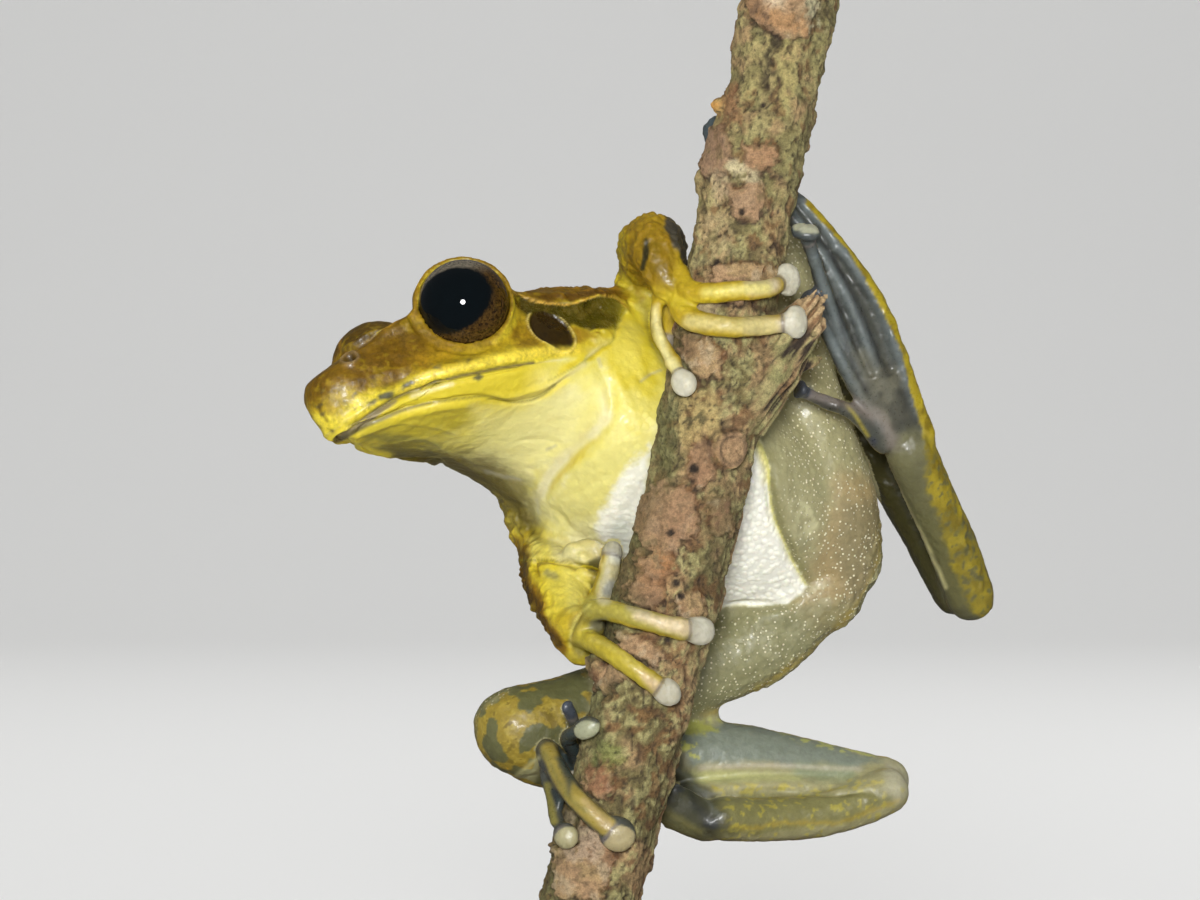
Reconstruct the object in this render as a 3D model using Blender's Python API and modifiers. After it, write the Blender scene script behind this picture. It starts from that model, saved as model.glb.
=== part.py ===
"""A stony creek frog gripping a cut length of stem, held up by a small display stand.

Sizes are millimetres in the part's own frame, and each finished piece is scaled to metres.
+X is the viewer's right, +Y points away from the viewer, +Z is up, and the origin is the
middle of the stand's underside. The frog is behind the stem with its belly towards it, its
head to the viewer's left, and "left" and "right" in a name are the frog's own sides.

Each piece of the frog starts as tubes, lofts and balls that overlap. They are fused by a
voxel remesh, softened and thinned, and then cut back by what they touch, so that
neighbouring pieces meet face to face with the same small gap.
"""

import math

import bmesh
import bpy
import numpy as np
from mathutils import Matrix, Vector, noise
from mathutils.bvhtree import BVHTree

MM = 0.001
GAP = 0.3
COLLECTION = "stony_creek_frog"

# Stand, in millimetres
BASE_RADIUS = 33.0
BASE_THICK = 6.0
ROD_RADIUS = 1.5
STEM_FOOT = 14.0
STEM_TOP = 77.5
STEM_RADIUS = 3.05
STEM_Y = -8.0

# The stem's centre line, (x, z), from its cut foot to its top
STEM_LINE = [(-4.8, 13.9), (-3.9, 17.2), (-2.3, 23.6), (-0.6, 30.0), (1.2, 36.4), (2.8, 42.8),
             (3.9, 49.2), (5.0, 55.6), (6.1, 62.0), (7.6, 68.4), (8.8, 74.8), (9.5, 78.1)]

# Head frame: the front of the closed mouth, and the directions of the snout and the crown
MOUTH = Vector((-20.3, -13.0, 46.6))
HEAD_FORWARD = Vector((-0.73, -0.675, -0.12)).normalized()
HEAD_UP = Vector((-0.35, 0.21, 0.915))
PELVIS_UP = Vector((-0.01, 0.86, 0.51))
HEAD_LENGTH = 17.0

EYE_BACK, EYE_SIDE, EYE_HIGH = 10.0, 5.3, 6.0
EYE_RADIUS = 2.85
LID_RADIUS = 3.3
EAR_BACK, EAR_SIDE, EAR_HIGH = 14.4, 7.4, 2.4
EAR_RADIUS = 1.5

# Where the spine runs behind the head, with its distance from the mouth
SPINE = [(17.5, (-7.5, -1.2, 48.8)), (23.1, (-2.6, 1.0, 47.6)), (30.2, (3.3, 2.7, 44.1)),
         (37.1, (8.7, 4.2, 40.0)), (44.0, (13.0, 5.2, 36.6))]

# Body sections. Each row: distance from the mouth, crown height, then (side, height) of the
# brow edge, the cheek, the lip or flank, the jaw or belly edge, and the depth of the underside
SECTIONS = [
    (-0.55, 2.9, (0.3, 2.8), (0.5, 2.5), (0.55, 2.1), (0.35, 1.7), 1.6),
    (-0.3, 3.9, (0.9, 3.7), (1.2, 2.9), (1.2, 2.0), (0.8, 1.1), 0.8),
    (0.3, 4.7, (1.5, 4.5), (2.0, 3.0), (2.0, 1.4), (1.3, 0.2), -0.1),
    (1.0, 5.0, (1.9, 4.8), (2.5, 3.1), (2.6, 1.1), (1.9, -0.1), -0.6),
    (2.0, 5.3, (2.3, 5.1), (3.0, 3.2), (3.2, 1.1), (2.6, -0.3), -0.9),
    (5.0, 5.7, (3.1, 5.4), (4.0, 3.4), (4.7, 1.4), (4.0, -0.4), -1.2),
    (8.0, 6.1, (3.9, 5.7), (5.1, 3.5), (6.0, 1.2), (5.1, -0.6), -1.6),
    (11.0, 6.5, (5.1, 6.0), (6.3, 3.5), (7.0, 1.0), (5.8, -0.9), -2.2),
    (14.3, 6.7, (6.0, 5.8), (7.2, 3.3), (7.7, 0.6), (6.0, -1.9), -3.4),
    (17.5, 6.6, (6.3, 5.3), (7.7, 2.7), (8.0, -0.2), (6.1, -3.8), -5.4),
    (23.1, 6.2, (6.1, 4.7), (7.8, 2.1), (8.3, -0.8), (6.6, -6.0), -7.6),
    (30.2, 5.7, (5.8, 4.2), (7.6, 1.7), (8.2, -0.9), (6.0, -5.2), -6.6),
    (37.1, 4.8, (4.6, 3.6), (6.1, 1.7), (6.8, -0.4), (4.6, -3.8), -4.9),
    (41.0, 3.4, (3.2, 2.7), (4.2, 1.4), (4.7, 0.0), (3.2, -2.5), -3.2),
    (43.3, 1.5, (1.3, 1.1), (1.9, 0.6), (2.1, 0.0), (1.4, -1.0), -1.4),
]

# Limb bones: points along each piece, and its half width at each
LIMBS = {
    "thigh_left": ([(12.4, 3.9, 38.9), (11.7, 2.6, 42.7), (10.7, 1.8, 46.7), (9.8, 1.5, 51.3),
                    (8.7, 1.9, 58.2), (8.9, 3.2, 60.0)], [3.15, 3.35, 2.9, 2.5, 2.4, 2.6]),
    "shank_left": ([(9.0, 4.4, 59.9), (12.2, 5.8, 54.0), (14.9, 6.8, 48.0), (18.5, 7.4, 40.6),
                    (20.5, 7.4, 36.4)], [1.9, 2.6, 2.3, 1.7, 1.5]),
    "tarsus_left": ([(21.4, 5.2, 36.2), (20.0, 3.5, 39.8), (18.6, 1.8, 42.7),
                     (17.0, -0.4, 46.1)], [1.65, 1.7, 1.65, 1.7]),
    "thigh_right": ([(9.8, 4.3, 36.2), (7.3, 4.0, 33.4), (4.3, 3.4, 31.9), (-2.0, 1.2, 29.7),
                     (-8.3, -1.0, 27.2)], [3.3, 3.0, 2.8, 2.6, 3.1]),
    "shank_right": ([(-7.6, 0.2, 25.9), (-3.3, 1.7, 25.8), (6.0, 3.6, 25.4),
                     (13.3, 4.3, 24.4), (15.7, 4.4, 24.0)], [2.2, 2.7, 2.45, 1.7, 1.6]),
    "tarsus_right": ([(15.6, 2.6, 23.4), (13.2, 1.9, 22.4), (7.2, 0.0, 21.7),
                      (4.7, -1.4, 21.9)], [1.6, 1.5, 1.45, 1.5]),
    "upper_arm_left": ([(-1.6, -3.0, 51.4), (-0.4, -1.0, 55.0), (0.3, 0.5, 58.0)],
                       [2.1, 1.9, 1.9]),
    "forearm_left": ([(0.3, 0.3, 58.0), (0.1, -3.5, 59.0), (0.2, -7.2, 59.5)],
                     [2.0, 2.3, 1.7]),
    "upper_arm_right": ([(-8.3, 3.2, 45.8), (-7.6, 3.2, 42.5), (-6.5, 2.5, 39.5)],
                        [2.3, 2.3, 2.2]),
    "forearm_right": ([(-6.5, 2.3, 39.5), (-5.8, -2.5, 36.9), (-4.9, -6.6, 34.2)],
                      [2.3, 2.3, 1.5]),
}

# Digits: points from the palm or sole to the pad, half width, and the pad's half width
FINGER, FINGER_PAD = 0.56, 0.85
TOE, TOE_PAD = 0.56, 0.85
DIGITS = {
    "hand_left": [
        [(1.4, -9.4, 57.2), (2.2, -10.2, 56.3), (5.6, -11.7, 56.1), (7.5, -10.7, 56.3),
         (8.5, -9.9, 56.7)],
        [(1.0, -9.0, 56.2), (2.2, -10.6, 54.5), (4.9, -11.8, 53.8), (7.4, -11.0, 53.9),
         (8.7, -10.6, 54.1)],
        [(0.6, -8.6, 56.0), (0.8, -9.0, 53.4), (1.3, -10.3, 51.6), (2.0, -11.0, 50.1)],
        [(0.6, -7.2, 56.4), (0.8, -6.8, 54.5), (1.0, -6.6, 53.1)],
    ],
    "hand_right": [
        [(-4.2, -7.6, 34.8), (-3.5, -9.3, 36.0), (-0.8, -11.4, 35.6), (2.1, -11.4, 34.6),
         (3.0, -10.9, 34.4)],
        [(-4.4, -7.8, 33.8), (-3.4, -9.8, 33.7), (-1.4, -11.3, 32.7), (0.2, -11.7, 31.4),
         (1.0, -11.4, 30.6)],
        [(-4.0, -6.6, 35.0), (-3.1, -5.9, 37.0), (-2.7, -5.6, 38.3), (-2.5, -5.4, 39.4)],
        [(-3.8, -6.4, 33.6), (-2.6, -4.6, 33.4), (-1.2, -4.2, 33.2)],
    ],
    "foot_left": [
        [(15.2, -1.6, 46.4), (13.0, -3.2, 48.5), (11.4, -3.8, 49.1), (9.9, -4.4, 49.8)],
        [(15.6, -1.4, 46.8), (12.9, -3.3, 50.9), (11.5, -3.9, 53.5), (10.4, -4.6, 55.4)],
        [(16.1, -1.2, 47.0), (13.5, -3.0, 51.2), (11.7, -4.2, 55.1), (10.4, -5.6, 58.1),
         (9.8, -7.2, 59.9)],
        [(16.8, -1.0, 47.0), (14.7, -2.7, 51.2), (12.9, -3.6, 55.6), (10.8, -4.0, 59.0),
         (8.8, -3.8, 61.6), (6.2, -3.7, 64.5), (3.9, -5.5, 66.5)],
        [(18.0, -0.8, 46.9), (16.5, -2.2, 51.2), (14.7, -3.2, 55.7), (12.0, -3.9, 59.5),
         (10.2, -3.4, 61.7), (8.4, -3.0, 63.2)],
    ],
    "foot_right": [
        [(3.8, -1.8, 22.5), (0.2, -2.6, 24.4), (-3.0, -3.2, 25.8), (-4.4, -4.6, 27.5),
         (-5.0, -5.9, 29.1)],
        [(4.0, -1.7, 22.2), (0.9, -2.5, 23.8), (-2.0, -2.9, 24.8), (-4.5, -3.9, 25.3),
         (-5.2, -5.6, 26.3), (-5.0, -7.4, 27.5), (-4.4, -9.0, 28.4)],
        [(4.1, -1.6, 22.0), (1.3, -2.5, 23.3), (-2.0, -2.8, 24.2), (-4.9, -3.4, 24.7)],
        [(4.2, -1.5, 21.8), (1.9, -2.4, 23.0), (-1.3, -2.8, 23.9), (-4.9, -3.6, 25.0),
         (-6.5, -6.0, 25.6), (-6.0, -9.0, 24.7), (-4.6, -11.0, 23.3), (-3.2, -11.8, 22.1),
         (-2.4, -11.8, 21.4)],
        [(4.3, -1.4, 21.4), (1.3, -2.3, 22.1), (-2.0, -2.6, 22.7), (-5.4, -3.8, 23.2),
         (-6.8, -6.5, 23.3), (-6.5, -9.0, 22.4), (-5.5, -10.4, 21.5)],
    ],
}
PALMS = {
    "hand_left": ([(0.2, -7.0, 59.5), (0.4, -8.6, 58.6), (1.0, -9.1, 56.8)], [1.7, 1.5, 1.25]),
    "hand_right": ([(-5.0, -6.4, 34.2), (-4.5, -7.2, 34.3), (-4.0, -7.8, 34.5)],
                   [1.45, 1.4, 1.2]),
    "foot_left": ([(17.0, -0.7, 46.2), (16.1, -1.5, 47.9), (14.6, -2.7, 51.0)],
                  [1.2, 2.3, 2.0]),
    "foot_right": ([(4.7, -1.3, 21.8), (3.0, -1.9, 22.2), (0.2, -2.5, 23.0)],
                   [1.2, 2.1, 1.9]),
}
WEB_REACH = 0.62
WEB_HALF = 0.3

# Triangles that each node keeps before it is cut back by its neighbours
BUDGET = {
    "head": 2700, "torso": 1200, "thigh": 460, "shank": 360, "tarsus": 240, "upper_arm": 200,
    "forearm": 260, "hand": 1150, "foot": 1500, "perch_stem": 1300,
}

COLOURS = {
    "stand_base": (0.10, 0.055, 0.03, 0.35, 0.0),
    "stand_rod": (0.55, 0.55, 0.56, 0.3, 1.0),
    "perch_stem": (0.27, 0.17, 0.10, 0.9, 0.0),
    "eye": (0.02, 0.012, 0.008, 0.05, 0.0),
    "head": (0.50, 0.36, 0.04, 0.35, 0.0),
    "torso": (0.72, 0.66, 0.34, 0.4, 0.0),
    "thigh": (0.40, 0.38, 0.20, 0.35, 0.0),
    "limb": (0.52, 0.44, 0.08, 0.38, 0.0),
    "foot": (0.24, 0.25, 0.22, 0.35, 0.0),
}


# Curves and frames

def hermite(knots, rows, wanted):
    """Rows read at the wanted knots from a smooth curve through all of them."""
    knots = np.asarray(knots, float)
    rows = np.asarray(rows, float)
    slope = np.gradient(rows, knots, axis=0)
    wanted = np.asarray(wanted, float)
    at = np.clip(np.searchsorted(knots, wanted, side="right") - 1, 0, len(knots) - 2)
    step = (knots[at + 1] - knots[at])[:, None]
    t = (wanted - knots[at])[:, None] / step
    low, high = rows[at], rows[at + 1]
    return (low * (2 * t**3 - 3 * t**2 + 1) + slope[at] * step * (t**3 - 2 * t**2 + t)
            + high * (3 * t**2 - 2 * t**3) + slope[at + 1] * step * (t**3 - t**2))


def along(points, steps):
    """Evenly spaced points on a smooth curve through the given ones, with their stations."""
    points = np.asarray(points, float)
    reach = np.concatenate([[0], np.cumsum(np.linalg.norm(np.diff(points, axis=0), axis=1))])
    wanted = np.linspace(0, reach[-1], steps)
    return hermite(reach, points, wanted), reach, wanted


def unit(rows):
    return rows / np.linalg.norm(rows, axis=-1, keepdims=True)


def stem_centre(z):
    """The stem's centre at a height."""
    line = np.asarray(STEM_LINE)
    return np.array([np.interp(z, line[:, 1], line[:, 0]), STEM_Y, z])


def stem_normal(point):
    """The direction that points straight out of the stem at a point near it."""
    centre = stem_centre(point[2])
    rise = stem_centre(point[2] + 1) - stem_centre(point[2] - 1)
    rise = rise / np.linalg.norm(rise)
    out = np.asarray(point, float) - centre
    out = out - rise * out.dot(rise)
    return out / np.linalg.norm(out)


def head_point(back, side, high):
    """A point of the head frame: behind the mouth's front, to the frog's left, and up."""
    up = (HEAD_UP - HEAD_FORWARD * HEAD_UP.dot(HEAD_FORWARD)).normalized()
    left = up.cross(HEAD_FORWARD)
    return MOUTH - HEAD_FORWARD * back + left * side + up * high


def head_direction(forward, side, up):
    start = head_point(0, 0, 0)
    return (head_point(-forward, side, up) - start).normalized()


# Meshes

def mesh_object(name, points, faces):
    mesh = bpy.data.meshes.new(name)
    mesh.from_pydata([tuple(map(float, p)) for p in points], [], faces)
    mesh.validate()
    obj = bpy.data.objects.new(name, mesh)
    bpy.context.scene.collection.objects.link(obj)
    return obj


def loft(name, rings):
    """A closed skin over rings of equal count, ended by a fan at each end."""
    count, sides = rings.shape[:2]
    points = rings.reshape(-1, 3)
    faces = []
    for i in range(count - 1):
        for j in range(sides):
            k = (j + 1) % sides
            faces.append((i * sides + j, i * sides + k, (i + 1) * sides + k,
                          (i + 1) * sides + j))
    points = np.vstack([points, rings[0].mean(0), rings[-1].mean(0)])
    first, last = count * sides, count * sides + 1
    for j in range(sides):
        k = (j + 1) % sides
        faces.append((first, k, j))
        faces.append((last, (count - 1) * sides + j, (count - 1) * sides + k))
    obj = mesh_object(name, points, faces)
    return face_out(obj)


def face_out(obj):
    cage = bmesh.new()
    cage.from_mesh(obj.data)
    bmesh.ops.recalc_face_normals(cage, faces=cage.faces)
    if cage.calc_volume(signed=True) < 0:
        bmesh.ops.reverse_faces(cage, faces=cage.faces)
    cage.to_mesh(obj.data)
    cage.free()
    return obj


def tube(name, points, radii, steps=None, resolution=3):
    """A round tube with round ends: a curve with a bevel and a radius at each point."""
    steps = steps or 4 * len(points)
    path, reach, wanted = along(points, steps)
    radius = np.interp(wanted, reach, radii) if len(radii) > 1 else np.full(steps, radii[0])
    ahead = unit(np.gradient(path, axis=0))
    leans = np.radians((80, 55, 28))
    first = [(path[0] - ahead[0] * radius[0] * math.sin(a), radius[0] * math.cos(a))
             for a in leans]
    last = [(path[-1] + ahead[-1] * radius[-1] * math.sin(a), radius[-1] * math.cos(a))
            for a in leans[::-1]]
    stops = first + list(zip(path, radius)) + last
    curve = bpy.data.curves.new(name, "CURVE")
    curve.dimensions = "3D"
    curve.bevel_depth = 1.0
    curve.bevel_resolution = resolution
    curve.use_fill_caps = True
    spline = curve.splines.new("POLY")
    spline.points.add(len(stops) - 1)
    for point, (place, size) in zip(spline.points, stops):
        point.co = (*place, 1)
        point.radius = size
    guide = bpy.data.objects.new(name, curve)
    bpy.context.scene.collection.objects.link(guide)
    bpy.context.view_layer.update()
    graph = bpy.context.evaluated_depsgraph_get()
    mesh = bpy.data.meshes.new_from_object(guide.evaluated_get(graph))
    bpy.data.objects.remove(guide)
    cage = bmesh.new()
    cage.from_mesh(mesh)
    bmesh.ops.remove_doubles(cage, verts=cage.verts, dist=1e-4)
    cage.to_mesh(mesh)
    cage.free()
    obj = bpy.data.objects.new(name, mesh)
    bpy.context.scene.collection.objects.link(obj)
    return face_out(obj)


def ribbon(name, rail_a, rail_b, half, steps=14, sides=10):
    """A thin sheet with round edges between two rails."""
    a, b = along(rail_a, steps)[0], along(rail_b, steps)[0]
    middle, across = (a + b) / 2, (b - a) / 2
    ahead = np.gradient(middle, axis=0)
    thick = unit(np.cross(ahead, across)) * half
    turn = np.linspace(0, 2 * math.pi, sides, endpoint=False)
    rings = [middle[i] + np.cos(turn)[:, None] * across[i] + np.sin(turn)[:, None] * thick[i]
             for i in range(steps)]
    return loft(name, np.array(rings))


def slab(name, points, widths, half, across):
    """A flat piece of round section, such as a sole: half widths and half thickness."""
    across = unit(np.array(across, float))
    rails = [[np.array(p) + sign * w * across for p, w in zip(points, widths)]
             for sign in (-1, 1)]
    return ribbon(name, *rails, half, steps=16, sides=16)


def ball(name, centre, radii, normal=(0, 0, 1), segments=20):
    """An ellipsoid. Its third radius lies along the normal."""
    cage = bmesh.new()
    bmesh.ops.create_uvsphere(cage, u_segments=segments, v_segments=segments // 2 + 2, radius=1)
    mesh = bpy.data.meshes.new(name)
    cage.to_mesh(mesh)
    cage.free()
    obj = bpy.data.objects.new(name, mesh)
    bpy.context.scene.collection.objects.link(obj)
    spin = Vector(normal).to_track_quat("Z", "Y").to_matrix().to_4x4()
    mesh.transform(Matrix.Translation(Vector(centre)) @ spin @ Matrix.Diagonal((*radii, 1)))
    return obj


def joined(name, pieces):
    """One object that holds the meshes of several, which are removed."""
    points, faces = [], []
    for piece in pieces:
        start = len(points)
        points += [tuple(v.co) for v in piece.data.vertices]
        faces += [tuple(start + v for v in p.vertices) for p in piece.data.polygons]
        drop(piece)
    return mesh_object(name, points, faces)


def drop(obj):
    mesh = obj.data
    bpy.data.objects.remove(obj)
    bpy.data.meshes.remove(mesh)


def settled(obj):
    """The object with its modifiers applied."""
    bpy.context.view_layer.update()
    graph = bpy.context.evaluated_depsgraph_get()
    mesh = bpy.data.meshes.new_from_object(obj.evaluated_get(graph))
    old = obj.data
    obj.modifiers.clear()
    obj.data = mesh
    bpy.data.meshes.remove(old)
    return obj


def soften(obj, rounds, keep=0.53):
    """Evens out the voxel steps without shrinking the form."""
    mesh = obj.data
    points = np.empty(len(mesh.vertices) * 3)
    mesh.vertices.foreach_get("co", points)
    points = points.reshape(-1, 3)
    ends = np.empty(len(mesh.edges) * 2, np.int32)
    mesh.edges.foreach_get("vertices", ends)
    a, b = ends.reshape(-1, 2).T
    count = np.bincount(np.concatenate([a, b]), minlength=len(points))[:, None]
    for _ in range(rounds):
        for factor in (0.5, -keep):
            total = np.zeros_like(points)
            np.add.at(total, a, points[b])
            np.add.at(total, b, points[a])
            points = points + factor * (total / count - points)
    mesh.vertices.foreach_set("co", points.ravel())
    mesh.update()
    return obj


def fused(name, pieces, voxel, rounds=6):
    """Overlapping pieces made one skin."""
    obj = joined(name, pieces)
    remesh = obj.modifiers.new("fuse", "REMESH")
    remesh.mode = "VOXEL"
    remesh.voxel_size = voxel
    settled(obj)
    return soften(largest(obj), rounds)


def thinned(obj, triangles):
    """The same form with about that many triangles."""
    now = sum(len(p.vertices) - 2 for p in obj.data.polygons)
    reduce = obj.modifiers.new("thin", "DECIMATE")
    reduce.ratio = min(1.0, triangles / now)
    reduce.use_collapse_triangulate = True
    return settled(obj)


def largest(obj):
    """Keeps only the largest closed surface of the mesh."""
    cage = bmesh.new()
    cage.from_mesh(obj.data)
    left, groups = set(cage.verts), []
    while left:
        group, front = set(), [left.pop()]
        while front:
            vert = front.pop()
            group.add(vert)
            for edge in vert.link_edges:
                other = edge.other_vert(vert)
                if other in left:
                    left.discard(other)
                    front.append(other)
        groups.append(group)
    groups.sort(key=lambda g: (len(g), max(v.index for v in g)), reverse=True)
    spare = [v for g in groups[1:] for v in g]
    bmesh.ops.delete(cage, geom=spare, context="VERTS")
    cage.to_mesh(obj.data)
    cage.free()
    return obj


def swollen(obj, by):
    """A copy of the object with its skin pushed out."""
    copy = bpy.data.objects.new(obj.name + "_swollen", obj.data.copy())
    bpy.context.scene.collection.objects.link(copy)
    mesh = copy.data
    points = np.empty(len(mesh.vertices) * 3)
    normals = np.empty(len(mesh.vertices) * 3)
    mesh.vertices.foreach_get("co", points)
    mesh.vertex_normals.foreach_get("vector", normals)
    mesh.vertices.foreach_set("co", points + by * normals)
    mesh.update()
    return copy


def boolean(obj, cutter, operation="DIFFERENCE", solver="MANIFOLD"):
    cut = obj.modifiers.new("cut", "BOOLEAN")
    cut.operation = operation
    cut.solver = solver
    cut.object = cutter
    settled(obj)
    drop(cutter)
    return obj


def box_of(obj):
    points = np.array([v.co for v in obj.data.vertices])
    return points.min(0), points.max(0)


def cleared(obj, neighbours):
    """Cuts the object back to the usual gap from each neighbour that it reaches."""
    for other in neighbours:
        low, high = box_of(obj)
        other_low, other_high = box_of(other)
        if (low > other_high + GAP).any() or (high < other_low - GAP).any():
            continue
        boolean(obj, swollen(other, GAP))
    return largest(obj)


def halved(obj, point, normal):
    """Keeps what lies on the far side of a plane, and closes the cut."""
    cage = bmesh.new()
    cage.from_mesh(obj.data)
    geometry = cage.verts[:] + cage.edges[:] + cage.faces[:]
    bmesh.ops.bisect_plane(cage, geom=geometry, plane_co=point, plane_no=normal,
                           clear_inner=True)
    rim = [e for e in cage.edges if e.is_boundary]
    bmesh.ops.holes_fill(cage, edges=rim, sides=0)
    cage.to_mesh(obj.data)
    cage.free()
    return face_out(largest(obj))


# Frog forms

def spine_frames(stations):
    """Centres and the left and up directions of the body's sections."""
    knots = [-1.0, 6.0, 12.0] + [s for s, _ in SPINE]
    rows = [head_point(s, 0, 0) for s in knots[:3]] + [p for _, p in SPINE]
    rows = np.array([tuple(r) for r in rows])
    rows = np.hstack([rows, np.zeros((len(rows), 1))])[:, :3]
    middle = hermite(knots, rows, stations)
    ahead = hermite(knots, rows, stations - 0.05) - hermite(knots, rows, stations + 0.05)
    ahead = unit(ahead)
    blend = np.clip((stations - 14) / 20, 0, 1)
    blend = (blend * blend * (3 - 2 * blend))[:, None]
    hint = np.array(HEAD_UP) * (1 - blend) + np.array(PELVIS_UP) * blend
    up = unit(hint - ahead * (hint * ahead).sum(1)[:, None])
    return middle, np.cross(up, ahead), up


def body_loft(steps=90, sides=40):
    """The skin from the snout to the vent, without its eyes, limbs and folds."""
    knots = [row[0] for row in SECTIONS]
    rows = [[row[1], *row[2], *row[3], *row[4], *row[5], row[6]] for row in SECTIONS]
    begin, end = knots[0], knots[-1]
    nose = begin + (end - begin) * (np.linspace(0, 1, steps) ** 1.25)
    values = hermite(knots, rows, nose)
    middle, left, up = spine_frames(nose)
    rings = []
    for i, row in enumerate(values):
        half = [(0, row[0]), *row[1:9].reshape(4, 2), (0, row[9])]
        ring = half + [(-x, z) for x, z in half[-2:0:-1]]
        ring = np.array(ring + ring[:1] + ring[1:2], float)
        ring = np.vstack([ring[-3], ring])
        dense = hermite(np.arange(-1, len(ring) - 1), ring, np.linspace(0, 10, sides + 1)[:-1])
        rings.append(middle[i] + dense[:, :1] * left[i] + dense[:, 1:] * up[i])
    return loft("body", np.array(rings))


def on_skin(tree, back, side, high):
    """The nearest point of the body to a place given in the head frame, and its normal."""
    place, normal, _, _ = tree.find_nearest(head_point(back, side, high))
    return place, normal


def head_folds(tree):
    """Ridges that the skin carries on both sides of the head."""
    pieces = []
    for side in (-1, 1):
        brow = [on_skin(tree, back, side * wide, high)[0]
                for back, wide, high in ((12.9, 6.4, 6.0), (14.6, 6.7, 5.2), (17.0, 7.0, 4.5),
                                         (19.4, 7.2, 3.9), (21.2, 7.6, 2.8))]
        pieces.append(tube("brow", brow, [0.45, 0.42, 0.42, 0.4, 0.25]))
        middle, normal = on_skin(tree, EAR_BACK, side * EAR_SIDE, EAR_HIGH)
        around = normal.orthogonal().normalized()
        over = normal.cross(around)
        ring = []
        for turn in np.linspace(0, 2 * math.pi, 13):
            reach = around * math.cos(turn) + over * math.sin(turn)
            ring.append(tree.find_nearest(middle + reach * EAR_RADIUS)[0])
        pieces.append(tube("ear", ring, [0.26], steps=30))
        lip = [on_skin(tree, back, side * wide, high)[0]
               for back, wide, high in ((0.6, 2.0, 1.3), (2.0, 3.2, 1.6), (5.0, 4.7, 2.0),
                                        (8.0, 6.0, 1.75), (11.0, 7.0, 1.6), (14.0, 7.6, 1.5))]
        pieces.append(tube("lip", lip, [0.35, 0.4, 0.42, 0.42, 0.4, 0.25]))
        canthus = [on_skin(tree, back, side * wide, high)[0]
                   for back, wide, high in ((1.6, 2.1, 5.1), (4.0, 2.8, 5.4), (7.5, 3.8, 5.8))]
        pieces.append(tube("canthus", canthus, [0.35, 0.45, 0.5]))
        eye = head_point(EYE_BACK, side * EYE_SIDE, EYE_HIGH)
        pieces.append(ball("lid", eye, (LID_RADIUS,) * 3, segments=28))
    return pieces


def body_form(voxel):
    """Head and torso as one skin."""
    body = body_loft()
    cage = bmesh.new()
    cage.from_mesh(body.data)
    tree = BVHTree.FromBMesh(cage)
    cage.free()
    return fused("body", [body, *head_folds(tree)], voxel)


def limb_form(name, voxel):
    points, radii = LIMBS[name]
    return fused(name, [tube(name, points, radii, steps=30, resolution=4)], voxel, rounds=3)


def gripping(points, radius):
    """Digit points moved so that those beside the stem lie on it."""
    placed = []
    for point in points:
        point = np.array(point, float)
        out = stem_normal(point)
        centre = stem_centre(point[2])
        reach = (point - centre).dot(out)
        wanted = STEM_RADIUS + radius
        if abs(reach - wanted) < 0.7:
            point = point + out * (wanted - reach)
        placed.append(point)
    return placed


def pad(name, tip, before, radius):
    """The round disc at a digit's tip, flat against the stem."""
    normal = stem_normal(tip)
    ahead = unit(np.asarray(tip) - np.asarray(before))
    middle = np.asarray(tip) + ahead * radius * 0.45
    return ball(name, middle, (radius, radius, radius * 0.55), normal, segments=16)


def hand_form(name, voxel):
    """Palm and fingers, or sole, toes and webs."""
    is_foot = name.startswith("foot")
    radius, disc = (TOE, TOE_PAD) if is_foot else (FINGER, FINGER_PAD)
    points, radii = PALMS[name]
    if is_foot:
        across = np.subtract(DIGITS[name][-1][0], DIGITS[name][0][0])
        pieces = [slab(name, points, radii, 0.95, across)]
    else:
        pieces = [tube(name, points, radii)]
    rails = []
    for digit in DIGITS[name]:
        placed = gripping(digit, radius)
        rails.append(placed)
        widths = np.linspace(radius * 1.25, radius * 0.8, len(placed))
        pieces.append(tube(name, placed, widths, steps=5 * len(placed)))
        pieces.append(pad(name, placed[-1], placed[-2], disc))
        joint = placed[-2] * 0.75 + placed[-1] * 0.25
        pieces.append(ball(name, joint, (radius * 1.02,) * 3, segments=12))
    if is_foot:
        for a, b in zip(rails[1:-1], rails[2:]):
            pieces.append(web(name, a, b))
    return fused(name, pieces, voxel, rounds=3)


def web(name, a, b):
    """The skin between two toes, from the sole to part of the way along the shorter toe."""
    path_a, _, _ = along(a, 40)
    path_b, _, _ = along(b, 40)
    lengths = [np.linalg.norm(np.diff(p, axis=0), axis=1).sum() for p in (path_a, path_b)]
    reach = WEB_REACH * min(lengths)
    rails = []
    for path, length in zip((path_a, path_b), lengths):
        count = max(4, int(40 * reach / length))
        rails.append(path[:count])
    return ribbon(name, rails[0], rails[1], WEB_HALF)


# Head cuts

def mouth_blade(name="blade"):
    """The thin sheet that cuts the line of the closed mouth."""
    line = [(15.2, 7.9, 0.8), (11.0, 7.0, 0.9), (8.0, 6.0, 1.05), (5.0, 4.7, 1.3),
            (2.0, 3.2, 0.9), (0.6, 1.9, 0.55), (0.1, 0.9, 0.4), (0.0, 0.0, 0.4)]
    line = line + [(b, -s, h) for b, s, h in line[-2::-1]]
    flat = np.array(line, float)
    path, _, _ = along(flat, 60)
    ahead = unit(np.gradient(path, axis=0))
    out = np.stack([-ahead[:, 1], ahead[:, 0], np.zeros(len(path))], axis=1)
    if (out[30] @ np.array([1, 0, 0])) > 0:
        out = -out
    outer = [head_point(*p) for p in path + 1.2 * out]
    inner = [head_point(*p) for p in path - 0.75 * out]
    return ribbon(name, [tuple(p) for p in outer], [tuple(p) for p in inner], 0.17, steps=60,
                  sides=8)


def eye_opening(side):
    """The direction that the open lids face."""
    return head_direction(0.50, side * 0.82, 0.16)


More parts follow.
